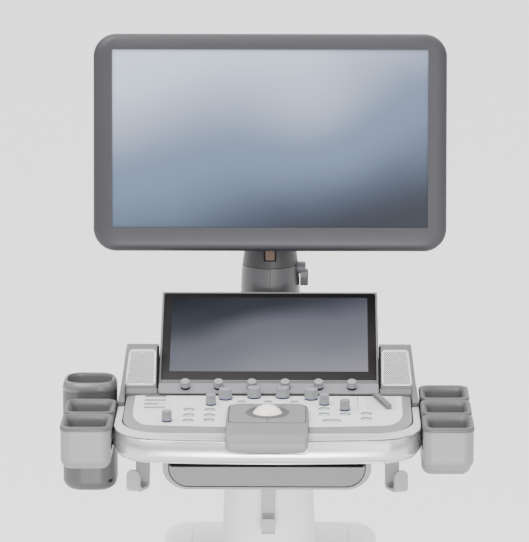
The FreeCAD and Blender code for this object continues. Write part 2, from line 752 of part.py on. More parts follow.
def deck():
    low = -PLATE_PROUD - DECK_FALL
    outer = console_wire(DECK_W, DECK_FRONT, DECK_CORNER, DECK_BACK, INNER_BOW, low - DECK_T + DECK_FALL)
    body = lifted(outer, DECK_T - DECK_FALL)
    rim = console_wire(DECK_W, DECK_FRONT, DECK_CORNER, DECK_BACK, INNER_BOW, low)
    crown = Part.makeLoft([rim, plate_wire(-PLATE_PROUD, PLATE_MARGIN)], True, True)
    body = body.fuse(crown).cut(lifted(plate_wire(-PLATE_T, GAP), PLATE_T))
    for x0, x1, y0, y1 in control_wells():
        body = body.cut(box(x0, x1, y0, y1, -PLATE_T - WELL_DEPTH, 0))
    body = on_deck(body)
    return body.cut(palm_block(GAP)).removeSplitter()


def control_wells():
    """Room under the plate for knob stems and slider necks."""
    wells = []
    for x, y in list(BIG_KNOBS.values()) + list(SMALL_KNOBS.values()):
        half = KNOB_STEM_R + WELL_MARGIN
        wells.append((x - half, x + half, y - half, y + half))
    x0, x1 = SLIDER_SLOT
    wells.append((x0, x1, SLIDER_LAST[1] - SLOT_MARGIN, SLIDER_FIRST[1] + SLOT_MARGIN))
    return wells


def key_plate():
    plate = lifted(plate_wire(-PLATE_T), PLATE_T)
    for x, y in ROUND_KEYS:
        plate = plate.cut(rod(ROUND_KEY_R + GAP, PLATE_T, V(x, y, -PLATE_T), UP))
    for x, y in SMALL_KEYS:
        plate = plate.cut(rod(SMALL_KEY_R + GAP, PLATE_T, V(x, y, -PLATE_T), UP))
    plate = plate.cut(wide_key_block(GAP, -PLATE_T, 0))
    for i in range(BAR_KEY_COUNT):
        plate = plate.cut(bar_key_block(i, GAP, -PLATE_T, 0))
    for x, y in list(BIG_KNOBS.values()) + list(SMALL_KNOBS.values()):
        plate = plate.cut(rod(KNOB_STEM_R + RUN, PLATE_T, V(x, y, -PLATE_T), UP))
    for x, y in slider_places():
        half = SLIDER_NECK / 2 + GAP
        plate = plate.cut(box(SLIDER_SLOT[0], SLIDER_SLOT[1], y - half, y + half, -PLATE_T, 0))
    return on_deck(plate).cut(palm_block(GAP))


# --- keys and knobs -------------------------------------------------------------------------
def key_solid(block, rise):
    """Round the top edge of a key that was drawn with its top at this height."""
    return block.makeFillet(KEY_EDGE_R, edges_at(block, rise))


def wide_key_block(grow, z0, z1):
    radius = WIDE_KEY_W / 2 + grow - 0.01
    return rounded_box(WIDE_KEY_L + 2 * grow, WIDE_KEY_W + 2 * grow, radius, z0, z1, *WIDE_KEY)


def bar_key_block(i, grow, z0, z1):
    y = BAR_KEY_Y - i * BAR_KEY_PITCH
    return rounded_box(BAR_KEY_L + 2 * grow, BAR_KEY_W + 2 * grow, BAR_KEY_R + grow, z0, z1, BAR_KEY_X, y)


def round_keys():
    foot = -PLATE_T + KEY_TRAVEL + GAP
    keys = []
    for x, y in ROUND_KEYS:
        keys.append(key_solid(rod(ROUND_KEY_R, KEY_RISE - foot, V(x, y, foot), UP), KEY_RISE))
    for x, y in SMALL_KEYS:
        keys.append(key_solid(rod(SMALL_KEY_R, KEY_RISE - foot, V(x, y, foot), UP), KEY_RISE))
    keys.append(key_solid(wide_key_block(0, foot, KEY_RISE), KEY_RISE))
    return Part.makeCompound([on_deck(key) for key in keys])


def bar_keys():
    foot = -PLATE_T + KEY_TRAVEL + GAP
    keys = [key_solid(bar_key_block(i, 0, foot, KEY_RISE), KEY_RISE) for i in range(BAR_KEY_COUNT)]
    return Part.makeCompound([on_deck(key) for key in keys])


def knob(x, y, radius):
    body = Part.makeCone(radius, radius - KNOB_TAPER, KNOB_H, V(x, y, GAP), UP)
    body = body.makeFillet(KNOB_EDGE_R, edges_at(body, KNOB_H + GAP))
    stem = rod(KNOB_STEM_R, KNOB_STEM_L, V(x, y, GAP - KNOB_STEM_L), UP)
    return on_deck(body.fuse(stem))


def slider_places():
    """Plan place of each slider cap, from the rear row to the front row."""
    last = SLIDER_COUNT - 1
    return [(SLIDER_FIRST[0] + (SLIDER_LAST[0] - SLIDER_FIRST[0]) * i / last,
             SLIDER_FIRST[1] + (SLIDER_LAST[1] - SLIDER_FIRST[1]) * i / last) for i in range(SLIDER_COUNT)]


def gain_sliders():
    sliders = []
    for x, y in slider_places():
        cap = box(x - SLIDER_L / 2, x + SLIDER_L / 2, y - SLIDER_W / 2, y + SLIDER_W / 2, GAP, SLIDER_H)
        long_edges = [e for e in edges_at(cap, SLIDER_H) if e.BoundBox.XLength > SLIDER_W]
        cap = cap.makeChamfer(SLIDER_EDGE, long_edges)
        neck = box(x - SLIDER_NECK_L / 2, x + SLIDER_NECK_L / 2, y - SLIDER_NECK / 2, y + SLIDER_NECK / 2,
                   -PLATE_T - SLIDER_NECK_H, GAP)
        sliders.append(on_deck(cap.fuse(neck)))
    return Part.makeCompound(sliders)


# --- trackball block ------------------------------------------------------------------------
def palm_block(grow):
    """Outer form of the palm rest, grown all round to cut room for it."""
    half = BLOCK_W / 2 + grow
    back = BLOCK_BACK + grow
    low = on_deck(box(-half, half, CLICK_FRONT - 1, back, -BLOCK_DEPTH - grow, BLOCK_RISE + grow))
    low = low.makeFillet(BLOCK_CORNER_R, [e for e in low.Edges if e.BoundBox.YMin > back - 6 and
                                          e.BoundBox.ZLength > BLOCK_DEPTH / 2])
    crest = deck_height(CLICK_FRONT) + BLOCK_RISE
    foot = deck_height(CLICK_FRONT) - BLOCK_DEPTH
    profile = [(CLICK_FRONT, crest), (PALM_FRONT + 8, PALM_EDGE_Z), (PALM_FRONT, PALM_EDGE_Z - 6),
               (PALM_FRONT - grow, PALM_FOOT_Z + 4), (PALM_FRONT + 4, PALM_FOOT_Z - grow),
               (RAIL_FRONT + RAIL_FRONT_T, PALM_FOOT_Z - grow), (RAIL_FRONT + RAIL_FRONT_T + 4, foot),
               (CLICK_FRONT, foot)]
    nose = slab(profile, -half, half)
    return low.fuse(nose)


def ball_place():
    """Centre of the trackball."""
    return on_deck(Part.Vertex(0, BALL_Y, BLOCK_RISE - BALL_DROP)).Point


def palm_rest():
    block = palm_block(0)
    floor = CLICK_FLOOR - KEY_TRAVEL - GAP
    half = CLICK_W / 2 + GAP
    bed = box(-half, half, CLICK_FRONT - GAP, CLICK_BACK + GAP, floor, BEYOND)
    block = block.cut(on_deck(bed))
    seat = rod(RING_R - RING_LAP, BEYOND, V(0, BALL_Y, floor), UP)
    block = block.cut(on_deck(seat))
    return block.cut(Part.makeSphere(BALL_R + GAP, ball_place())).removeSplitter()


def trackball_ring():
    foot = CLICK_FLOOR - KEY_TRAVEL - GAP
    ring = rod(RING_R, RING_RISE - foot, V(0, BALL_Y, foot), UP)
    ring = ring.makeFillet(RING_EDGE_R, edges_at(ring, RING_RISE))
    return on_deck(ring).cut(Part.makeSphere(BALL_R + GAP, ball_place()))


def trackball():
    return Part.makeSphere(BALL_R, ball_place())


def trackball_keys():
    half = CLICK_W / 2
    split = CLICK_SPLIT / 2
    side = [(half, CLICK_FRONT), (split, CLICK_FRONT), (split, BALL_Y), (CLICK_SPREAD + split, CLICK_BACK),
            (half, CLICK_BACK)]
    outlines = [
        [(-x, y) for x, y in side],
        side,
        [(-CLICK_SPREAD + split, CLICK_BACK), (CLICK_SPREAD - split, CLICK_BACK), (0, BALL_Y + split)],
    ]
    keys = []
    for outline in outlines:
        key = prism(outline, CLICK_FLOOR, BLOCK_RISE)
        key = key.cut(rod(RING_R + GAP * 2, BEYOND, V(0, BALL_Y, 0), UP))
        keys.append(on_deck(key))
    return Part.makeCompound(keys)


# --- touch panel ----------------------------------------------------------------------------
def along_touch(distance, depth=0.0):
    """Point (y, z) this far up the touch surface from the foot of its picture, and this deep."""
    a = math.radians(TOUCH_TILT)
    return (TOUCH_Y + distance * math.cos(a) + depth * math.sin(a),
            TOUCH_Z + distance * math.sin(a) - depth * math.cos(a))


def touch_housing():
    half = GLASS_W / 2 + TOUCH_RIM
    top = TOUCH_VIEW_H + TOUCH_ABOVE + TOUCH_RIM
    foot = -TOUCH_BELOW - 1.5
    knee_y = TOUCH_Y + 6
    profile = [STRIP_FRONT, STRIP_BACK, along_touch(foot), along_touch(top), along_touch(top, TOUCH_T),
               (knee_y, deck_height(knee_y) + 2.4), (STRIP_FRONT[0], STRIP_FOOT_Z)]
    body = slab(profile, -half, half)
    recess = [along_touch(-TOUCH_BELOW), along_touch(TOUCH_VIEW_H + TOUCH_ABOVE),
              along_touch(TOUCH_VIEW_H + TOUCH_ABOVE, GLASS_T), along_touch(-TOUCH_BELOW, GLASS_T)]
    body = body.cut(slab(recess, -GLASS_W / 2, GLASS_W / 2))
    for x in soft_knob_places():
        body = body.cut(soft_knob_solid(x, KNOB_STEM_R + RUN, -SOFT_BORE_L, 0))
    return body.removeSplitter()


def touch_glass():
    low = -TOUCH_BELOW + GLASS_FIT
    high = TOUCH_VIEW_H + TOUCH_ABOVE - GLASS_FIT
    face = [along_touch(low), along_touch(high), along_touch(high, GLASS_T), along_touch(low, GLASS_T)]
    return slab(face, -GLASS_W / 2 + GLASS_FIT, GLASS_W / 2 - GLASS_FIT)


def soft_knob_places():
    """Centre line of each knob on the strip."""
    return [(i - (SOFT_KNOB_COUNT - 1) / 2) * SOFT_KNOB_PITCH for i in range(SOFT_KNOB_COUNT)]


def soft_knob_solid(x, radius, low, high):
    """Cylinder square to the strip, from low to high above its surface."""
    rise = math.atan2(STRIP_BACK[1] - STRIP_FRONT[1], STRIP_BACK[0] - STRIP_FRONT[0])
    normal = V(0, -math.sin(rise), math.cos(rise))
    centre = V(x, STRIP_FRONT[0] + SOFT_KNOB_INSET * math.cos(rise),
               STRIP_FRONT[1] + SOFT_KNOB_INSET * math.sin(rise))
    return rod(radius, high - low, centre + normal * low, normal)


def soft_knobs():
    knobs = []
    for x in soft_knob_places():
        cap = soft_knob_solid(x, SOFT_KNOB_R, KEY_TRAVEL + GAP, SOFT_KNOB_H)
        stem = soft_knob_solid(x, KNOB_STEM_R, -SOFT_STEM_L, KEY_TRAVEL + GAP)
        knobs.append(cap.fuse(stem))
    return Part.makeCompound(knobs)


def rear_housing():
    """Wedge under the touch panel, the two speaker pods and the low deck that carries the neck."""
    foot = RAIL_TOP
    start = DECK_BACK + REAR_CLEAR
    half = POD_INNER - 1
    under = TOUCH_T + 1.2
    low_y = TOUCH_Y + 9
    high = along_touch(WEDGE_TOP_Y - TOUCH_Y - 6, under)
    profile = [(start, foot), (start, deck_height(start) - 1), (low_y, deck_height(low_y) + 1),
               high, (high[0] + 6, high[1] - 10), (high[0] + 6, foot)]
    wedge = slab(profile, -half, half)
    inner = [(start + 5, foot), (start + 5, deck_height(start) - 5), (low_y + 6, deck_height(low_y) - 2),
             (high[0] - 2, high[1] - 7), (high[0] + 2, foot)]
    wedge = wedge.cut(slab(inner, -half + SHELL, half - SHELL))
    lid = box(-REAR_W / 2, REAR_W / 2, high[0] + 6, CONSOLE_BACK, foot, REAR_DECK_TOP)
    lid = lid.cut(box(-REAR_W / 2 + SHELL, REAR_W / 2 - SHELL, high[0] + 6, CONSOLE_BACK - SHELL, foot,
                      REAR_DECK_TOP - SHELL))
    housing = wedge.fuse(lid)
    pod = pod_block().fuse(pod_cheek())
    return housing.fuse(pod).fuse(mirrored(pod)).removeSplitter()


def pod_cheek():
    """Flare that carries the pod's outer side down onto the rail."""
    foot = RAIL_TOP + SEAM
    inner = DECK_W / 2 + 2
    outer = RAIL_W / 2 - CHEEK_GAP
    section = run([(inner, foot), (outer, foot), (outer, foot + CHEEK_LIP), (POD_OUTER, foot + CHEEK_RISE),
                   (inner, foot + CHEEK_RISE)], CHEEK_FRONT, POD_BACK)
    side = slab([(CHEEK_FRONT, foot), (CHEEK_FRONT, foot + CHEEK_LIP),
                 (POD_FRONT, deck_height(POD_FRONT) + 1),
                 (POD_TOP_FRONT, POD_TOP), (POD_TOP_BACK, POD_TOP), (POD_BACK, deck_height(POD_BACK)),
                 (POD_BACK, foot)], inner, outer)
    return section.common(side)


def pod_block():
    foot = RAIL_TOP
    profile = [(POD_FRONT, foot), (POD_FRONT, deck_height(POD_FRONT)), (POD_TOP_FRONT, POD_TOP),
               (POD_TOP_BACK, POD_TOP), (POD_BACK, deck_height(POD_BACK)), (POD_BACK, foot)]
    pod = slab(profile, POD_INNER - 1, POD_OUTER)
    crest = [e for e in edges_along(pod, ACROSS) if e.BoundBox.ZMin > POD_TOP - 1]
    return pod.makeFillet(POD_ROUND, crest)


def grille_plate():
    """Flat grille on the right-hand pod, lying on its sloping face."""
    slope = math.atan2(POD_TOP - deck_height(POD_FRONT), POD_TOP_FRONT - POD_FRONT)
    x = (POD_INNER + POD_OUTER) / 2 - 0.5
    plate = rounded_box(GRILLE_W, GRILLE_L, GRILLE_R, 0, GRILLE_T)
    plate.rotate(V(0, 0, 0), ACROSS, math.degrees(slope))
    middle_y = (POD_FRONT + POD_TOP_FRONT) / 2 + 1
    middle_z = deck_height(POD_FRONT) + (middle_y - POD_FRONT) * math.tan(slope)
    plate.translate(V(x, middle_y, middle_z))
    return plate


def speaker_grilles():
    plate = grille_plate()
    return Part.makeCompound([plate, mirrored(plate)])


# --- keyboard drawer ------------------------------------------------------------------------
def bay_form(inset_side, inset_foot, top, y0, y1):
    """Trough with rounded lower corners, drawn in by these walls, from y0 to y1."""
    half = BAY_W / 2 - inset_side
    foot = BAY_FOOT_W / 2
    low = BAY_FOOT_Z + inset_foot
    corner = [V(half, y0, BAY_KNEE_Z), V(half, y0, BAY_KNEE_Z - SWEEP * (BAY_KNEE_Z - low)),
              V(foot + SWEEP * (half - foot), y0, low), V(foot, y0, low)]
    right = Part.BezierCurve()
    right.setPoles(corner)
    left = Part.BezierCurve()
    left.setPoles([V(-p.x, p.y, p.z) for p in corner[::-1]])
    outline = Part.Wire([
        Part.makeLine(V(-half, y0, top), V(half, y0, top)),
        Part.makeLine(V(half, y0, top), V(half, y0, BAY_KNEE_Z)),
        right.toShape(),
        Part.makeLine(V(foot, y0, low), V(-foot, y0, low)),
        left.toShape(),
        Part.makeLine(V(-half, y0, BAY_KNEE_Z), V(-half, y0, top)),
    ])
    return Part.Face(outline).extrude(V(0, y1 - y0, 0))


def drawer_surround():
    body = bay_form(0, 0, CONSOLE_Z, BAY_FRONT, BAY_BACK)
    return body.cut(bay_form(BAY_SIDE, BAY_WALL, CONSOLE_Z, BAY_FRONT, BAY_BACK - BAY_WALL))


def drawer_tray():
    side = BAY_SIDE + DRAWER_GAP
    foot = BAY_WALL + DRAWER_GAP
    front = BAY_FRONT + DRAWER_SET
    back = BAY_BACK - BAY_WALL - DRAWER_GAP
    body = bay_form(side, foot, DRAWER_TOP, front, back)
    hollow = bay_form(side + DRAWER_WALL, foot + DRAWER_WALL, CONSOLE_Z, front + DRAWER_FACE,
                      back - DRAWER_WALL)
    half = KEYBOARD_W / 2 + SHELF_MARGIN
    shelf = box(-half, half, front + DRAWER_FACE - 1, back - DRAWER_WALL + 1,
                KEYBOARD_Z - SHELF_T, KEYBOARD_Z)
    return body.cut(hollow).fuse(shelf.common(body)).removeSplitter()


def keyboard():
    front = BAY_FRONT + DRAWER_SET + DRAWER_FACE + KEYBOARD_SET
    half = KEYBOARD_W / 2 - SHELF_MARGIN
    top = KEYBOARD_Z + KEYBOARD_T
    board = box(-half, half, front, front + KEYBOARD_L, KEYBOARD_Z, top)
    return board.makeChamfer(KEYBOARD_EDGE, edges_at(board, top))


# --- holders --------------------------------------------------------------------------------
def cup(x, y, depth):
    """Solid form of one cup, rounded underneath."""
    form = rounded_box(CUP_W, CUP_L, CUP_CORNER_R, CUP_TOP - depth, CUP_TOP, x, y)
    return form.makeFillet(CUP_FOOT_R, edges_at(form, CUP_TOP - depth))


def holder_bar(sign):
    """Strip that carries a row of cups along the rail."""
    inner = sign * (RAIL_W / 2 + GAP)
    outer = inner + sign * HOLDER_BAR_T
    reach = CUP_L / 2 - HOLDER_BAR_SET
    return box(min(inner, outer), max(inner, outer), CUP_Y[0] - reach, CUP_Y[2] + reach,
               HOLDER_BAR_Z, HOLDER_BAR_Z + HOLDER_BAR_H)


def cup_cavity(x, y, depth):
    """Tapered hollow of one cup."""
    mouth = rounded_wire(CUP_OPEN_W, CUP_OPEN_L, CUP_INNER_R, CUP_TOP, x, y)
    floor = rounded_wire(CUP_OPEN_W - 2 * CUP_TAPER, CUP_OPEN_L - 2 * CUP_TAPER, CUP_INNER_R,
                         CUP_TOP - depth + CUP_FLOOR, x, y)
    return Part.makeLoft([mouth, floor], True, True)


def holder(sign, depths):
    body = holder_bar(sign)
    for y, depth in zip(CUP_Y, depths):
        body = body.fuse(cup(sign * CUP_X, y, depth))
    for y, depth in zip(CUP_Y, depths):
        body = body.cut(cup_cavity(sign * CUP_X, y, depth))
    if sign < 0:
        body = body.cut(warmer_form(-GAP, WARMER_FOOT, WARMER_TOP))
    return body.removeSplitter()


def cup_liner(x, y):
    lip = rounded_box(CUP_W + 2 * LINER_LIP, CUP_L + 2 * LINER_LIP, CUP_CORNER_R + LINER_LIP, CUP_TOP,
                      CUP_TOP + LINER_LIP_H, x, y)
    lip = lip.makeFillet(LINER_EDGE_R, edges_at(lip, CUP_TOP + LINER_LIP_H))
    slope = CUP_TAPER / (min(CUP_DEPTHS_LEFT + CUP_DEPTHS_RIGHT) - CUP_FLOOR)
    width = CUP_OPEN_W - 2 * slope * LINER_DEPTH - LINER_FIT
    length = CUP_OPEN_L - 2 * slope * LINER_DEPTH - LINER_FIT
    foot = CUP_TOP - LINER_DEPTH
    skirt = rounded_box(width, length, CUP_INNER_R, foot, CUP_TOP, x, y)
    hollow = rounded_box(width - 2 * LINER_T, length - 2 * LINER_T, CUP_INNER_R - LINER_T, foot,
                         CUP_TOP + LINER_LIP_H, x, y)
    return lip.fuse(skirt).cut(hollow).removeSplitter()


def cup_liners():
    liners = [cup_liner(CUP_X, y) for y in CUP_Y]
    liners += [cup_liner(-CUP_X, y) for y, depth in zip(CUP_Y, CUP_DEPTHS_LEFT)]
    return Part.makeCompound(liners)


def warmer_wire(inset, z):
    """Outline of the gel warmer, drawn in by a wall."""
    radius = WARMER_CORNER_R - inset / 2
    return rounded_wire(WARMER_W - 2 * inset, WARMER_L - 2 * inset, radius, z, WARMER_X, CUP_Y[2])


def warmer_form(inset, z0, z1):
    return lifted(warmer_wire(inset, z0), z1 - z0)


def gel_warmer():
    body = warmer_form(0, WARMER_FOOT, WARMER_TOP)
    body = body.makeFillet(WARMER_ROUND, edges_at(body, WARMER_FOOT))
    return body.cut(warmer_form(WARMER_WALL, WARMER_FOOT + WARMER_WALL, WARMER_TOP))


def warmer_collar():
    top = WARMER_TOP + COLLAR_H
    collar = Part.makeLoft([warmer_wire(0, WARMER_TOP), warmer_wire(COLLAR_SLOPE, top)], True, True)
    collar = collar.makeFillet(COLLAR_EDGE_R, edges_at(collar, top))
    return collar.cut(warmer_form(WARMER_WALL, WARMER_TOP, top))


def cable_hooks():
    profile = hook_profile(CABLE_HOOK_Y, CONSOLE_Z, CABLE_HOOK_FOOT, CABLE_HOOK_REACH, CABLE_HOOK_LIP,
                           CABLE_HOOK_T)
    hook = slab(profile, CABLE_HOOK_X - CABLE_HOOK_W / 2, CABLE_HOOK_X + CABLE_HOOK_W / 2)
    hook.rotate(V(CABLE_HOOK_X, CABLE_HOOK_Y, 0), UP, CABLE_HOOK_YAW)
    return Part.makeCompound([hook, mirrored(hook)])


def rear_handle():
    half = HANDLE_W / 2
    bend = HANDLE_BEND
    start = CONSOLE_BACK
    z = HANDLE_Z
    knee = bend * (1 - math.sqrt(0.5))
    path = Part.Wire([
        Part.makeLine(V(-half, start, z), V(-half, HANDLE_Y - bend, z)),
        Part.Arc(V(-half, HANDLE_Y - bend, z), V(-half + knee, HANDLE_Y - knee, z),
                 V(-half + bend, HANDLE_Y, z)).toShape(),
        Part.makeLine(V(-half + bend, HANDLE_Y, z), V(half - bend, HANDLE_Y, z)),
        Part.Arc(V(half - bend, HANDLE_Y, z), V(half - knee, HANDLE_Y - knee, z),
                 V(half, HANDLE_Y - bend, z)).toShape(),
        Part.makeLine(V(half, HANDLE_Y - bend, z), V(half, start, z)),
    ])
    profile = Part.Wire([Part.makeCircle(HANDLE_R, V(-half, start, z), V(0, 1, 0))])
    return path.makePipeShell([profile], True, False)


# --- neck, head and monitor -----------------------------------------------------------------
def neck_solid():
    neck = Part.makeLoft([lens_wire(w, d, z) for z, w, d in NECK_SECTIONS], True, True)
    inner = []
    for z, w, d in NECK_SECTIONS[:2]:
        inner.append(lens_wire(w - NECK_WALL, d - NECK_WALL * 1.6, z))
    hollow = Part.makeLoft(inner, True, True)
    hollow.translate(V(0, 0, -NECK_WALL))
    keep = box(-BEYOND, BEYOND, 0, BEYOND, NECK_SECTIONS[0][0], NECK_RIM - STEM_HEAD_L - NECK_WALL)
    neck = neck.cut(hollow.common(keep))
    bore_l = STEM_HEAD_L + GAP
    return neck.cut(rod(STEM_HEAD_R + RUN, bore_l, V(0, NECK_Y, NECK_RIM - bore_l), UP))


def neck_cover(sign):
    half = box(SEAM / 2, BEYOND, 0, BEYOND, REAR_DECK_TOP, NECK_RIM)
    if sign < 0:
        return neck_solid().common(mirrored(half))
    bore_start = lever_start() - LEVER_SHAFT_L + LEVER_SHAFT_LAP - LEVER_END_GAP
    bore = rod(LEVER_SHAFT_R + RUN, LEVER_BORE_L, V(bore_start, LEVER_Y, LEVER_Z), ACROSS)
    return neck_solid().common(half).cut(bore)


def lever_start():
    """Where the lever's hub begins, clear of the neck's side."""
    return NECK_SECTIONS[2][1] + LEVER_CLEAR


def lock_lever():
    start = lever_start()
    hub = rod(LEVER_HUB_R, LEVER_HUB_L, V(start, LEVER_Y, LEVER_Z), ACROSS)
    shaft_start = start - LEVER_SHAFT_L + LEVER_SHAFT_LAP
    shaft = rod(LEVER_SHAFT_R, LEVER_SHAFT_L, V(shaft_start, LEVER_Y, LEVER_Z), ACROSS)
    end = start + LEVER_HUB_L
    paddle = box(end - LEVER_T, end, LEVER_Y - LEVER_W / 2, LEVER_Y + LEVER_W / 2, LEVER_Z - LEVER_L, LEVER_Z)
    paddle = paddle.makeFillet(LEVER_EDGE_R, edges_at(paddle, LEVER_Z - LEVER_L))
    return hub.fuse(shaft).fuse(paddle).removeSplitter()


def swivel_head():
    dome = Part.makeLoft([lens_wire(w, d, z) for z, w, d in HEAD_SECTIONS], True, True)
    inside = HEAD_SLOT_W / 2
    ears = box(-inside - EAR_T, inside + EAR_T, TILT_Y - EAR_R, TILT_Y + EAR_R, HEAD_SECTIONS[1][0], TILT_Z)
    ears = ears.fuse(rod(EAR_R, 2 * (inside + EAR_T), V(-inside - EAR_T, TILT_Y, TILT_Z), ACROSS))
    head = dome.fuse(ears)
    head = head.cut(box(-inside, inside, 0, BEYOND, HEAD_SLOT_Z, TILT_Z + EAR_R))
    head = head.cut(rod(TILT_PIN_R + RUN, 2 * (inside + EAR_T), V(-inside - EAR_T, TILT_Y, TILT_Z), ACROSS))
    stem_foot = NECK_RIM - STEM_HEAD_L + GAP
    stem = rod(STEM_HEAD_R, HEAD_SLOT_Z - stem_foot, V(0, NECK_Y, stem_foot), UP)
    return head.fuse(stem).removeSplitter()


def on_monitor(shape):
    """Lay a shape, drawn upright with its picture centre at the origin, at the monitor's tilt."""
    copy = shape.copy()
    copy.rotate(V(0, 0, 0), ACROSS, -MONITOR_TILT)
    copy.translate(V(0, MONITOR_Y, MONITOR_Z))
    return copy


def upright_plate(width, low, high, radius, y0, y1):
    """Rounded plate facing the user, from low to high and from y0 to y1."""
    plate = rounded_box(width, high - low, radius, 0, y1 - y0)
    plate.rotate(V(0, 0, 0), ACROSS, 90)
    plate.translate(V(0, y1, (low + high) / 2))
    return plate


def monitor_low():
    return -SCREEN_H / 2 - BEZEL_FOOT


def monitor_high():
    return SCREEN_H / 2 + BEZEL_HEAD


def monitor_bezel():
    width = SCREEN_W + 2 * BEZEL_SIDE
    frame = upright_plate(width, monitor_low(), monitor_high(), BEZEL_R, 0, BEZEL_T)
    front = [e for e in frame.Edges if e.BoundBox.YMax < 0.01 and e.BoundBox.YMin > -0.01]
    frame = frame.makeFillet(BEZEL_ROUND, front)
    window = box(-SCREEN_W / 2, SCREEN_W / 2, 0, BEZEL_T, -SCREEN_H / 2, SCREEN_H / 2)
    half_w = SCREEN_W / 2 + PANEL_LAP + PANEL_FIT
    half_h = SCREEN_H / 2 + PANEL_LAP + PANEL_FIT
    room = box(-half_w, half_w, PANEL_SET, BEZEL_T, -half_h, half_h)
    return on_monitor(frame.cut(window).cut(room))


def monitor_panel():
    half_w = SCREEN_W / 2 + PANEL_LAP
    half_h = SCREEN_H / 2 + PANEL_LAP
    return on_monitor(box(-half_w, half_w, PANEL_SET, PANEL_SET + PANEL_T, -half_h, half_h))


def monitor_back():
    width = SCREEN_W + 2 * BEZEL_SIDE - 2 * BACK_INSET
    middle = (monitor_low() + monitor_high()) / 2
    height = monitor_high() - monitor_low() - 2 * BACK_INSET
    near = rounded_wire(width, height, BEZEL_R, 0)
    far = rounded_wire(width - 2 * BACK_TAPER, height - 2 * BACK_TAPER, BEZEL_R, BACK_DEPTH)
    hull = Part.makeLoft([near, far], True, True)
    hull_near = rounded_wire(width - 2 * SHELL, height - 2 * SHELL, BEZEL_R, 0)
    hull_far = rounded_wire(width - 2 * BACK_TAPER - 2 * SHELL, height - 2 * BACK_TAPER - 2 * SHELL, BEZEL_R,
                            BACK_DEPTH - SHELL)
    hull = hull.cut(Part.makeLoft([hull_near, hull_far], True, True))
    hull.rotate(V(0, 0, 0), ACROSS, -90)
    hull.translate(V(0, BEZEL_T, middle))
    return on_monitor(hull)


def tilt_bracket():
    back = BEZEL_T + BACK_DEPTH
    middle = (monitor_low() + monitor_high()) / 2
    half = PLATE_VESA / 2
    plate = on_monitor(box(-half, half, back, back + BRACKET_T, middle - half, middle + half))
    a = math.radians(MONITOR_TILT)
    arm_top = MONITOR_Z + (middle + half) * math.cos(a) - back * math.sin(a)
    face_y = MONITOR_Y + (back + BRACKET_T) * math.cos(a)
    foot_y = face_y + (middle - half) * math.sin(a)
    head_y = face_y + (middle + half) * math.sin(a)
    low_z = MONITOR_Z + (middle - half) * math.cos(a) - (back + BRACKET_T) * math.sin(a)
    profile = [(foot_y, low_z), (TILT_Y - 9, TILT_Z - 4), (TILT_Y + 9, TILT_Z - 4), (TILT_Y + 14, low_z + 20),
               (head_y + 10, arm_top - 20), (head_y - 4, arm_top - 20)]
    arm = slab(profile, -BRACKET_ARM_W / 2, BRACKET_ARM_W / 2)
    boss = rod(EAR_R - 4, BRACKET_ARM_W, V(-BRACKET_ARM_W / 2, TILT_Y, TILT_Z), ACROSS)
    pin = rod(TILT_PIN_R, HEAD_SLOT_W + 2 * EAR_T, V(-HEAD_SLOT_W / 2 - EAR_T, TILT_Y, TILT_Z), ACROSS)
    arm = arm.cut(on_monitor(box(-BEYOND, BEYOND, -BEYOND, back, -BEYOND, BEYOND)))
    return plate.fuse(arm).fuse(boss).fuse(pin).removeSplitter()


# --- assembly -------------------------------------------------------------------------------
def sub_parts():
    """Every sub-part by name."""
    parts = {
        "base_chassis": base_chassis(),
        "base_cover": base_cover(),
        "electronics_case": electronics_case(),
        "port_panel": port_panel(),
        "probe_sockets": probe_sockets(),
        "power_inlet": power_inlet(),
        "guide_tube": guide_tube(),
        "pedestal_cover": pedestal_cover(),
        "front_hook": front_hook(),
        "mast": mast(),
        "console_base": console_base(),
        "console_rail": console_rail(),
        "deck": deck(),
        "key_plate": key_plate(),
        "round_keys": round_keys(),
        "bar_keys": bar_keys(),
        "gain_sliders": gain_sliders(),
        "palm_rest": palm_rest(),
        "trackball_ring": trackball_ring(),
        "trackball": trackball(),
        "trackball_keys": trackball_keys(),
        "touch_housing": touch_housing(),
        "touch_glass": touch_glass(),
        "soft_knobs": soft_knobs(),
        "rear_housing": rear_housing(),
        "speaker_grilles": speaker_grilles(),
        "drawer_surround": drawer_surround(),
        "drawer_tray": drawer_tray(),
        "keyboard": keyboard(),
        "holder_left": holder(-1, CUP_DEPTHS_LEFT),
        "holder_right": holder(1, CUP_DEPTHS_RIGHT),
        "cup_liners": cup_liners(),
        "gel_warmer": gel_warmer(),
        "warmer_collar": warmer_collar(),
        "cable_hooks": cable_hooks(),
        "rear_handle": rear_handle(),
        "neck_cover_left": neck_cover(-1),
        "neck_cover_right": neck_cover(1),
        "lock_lever": lock_lever(),
        "swivel_head": swivel_head(),
        "tilt_bracket": tilt_bracket(),
        "monitor_bezel": monitor_bezel(),
        "monitor_panel": monitor_panel(),
        "monitor_back": monitor_back(),
    }
    for name, (x, y) in BIG_KNOBS.items():
        parts[name] = knob(x, y, BIG_KNOB_R)
    for name, (x, y) in SMALL_KNOBS.items():
        parts[name] = knob(x, y, SMALL_KNOB_R)
    for name, (x, y) in caster_places().items():
        parts["caster_fork_" + name] = caster_fork(x, y)
        parts["caster_wheel_" + name] = caster_wheel(x, y)
    return parts


os.makedirs("parts", exist_ok=True)
for name, shape in sub_parts().items():
    shape.exportStep("parts/" + name + ".step")
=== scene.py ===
# %% [markdown]
# # A cart-style ultrasound machine, given its looks
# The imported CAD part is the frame: it says where each piece sits and how it moves. Each cell below makes
# one real piece of the machine over that frame, with bmesh operators, and paints it with node materials.

# %% Start: tools, frame and measures
import json
import math

import bmesh
import bpy
from mathutils import Matrix, Vector


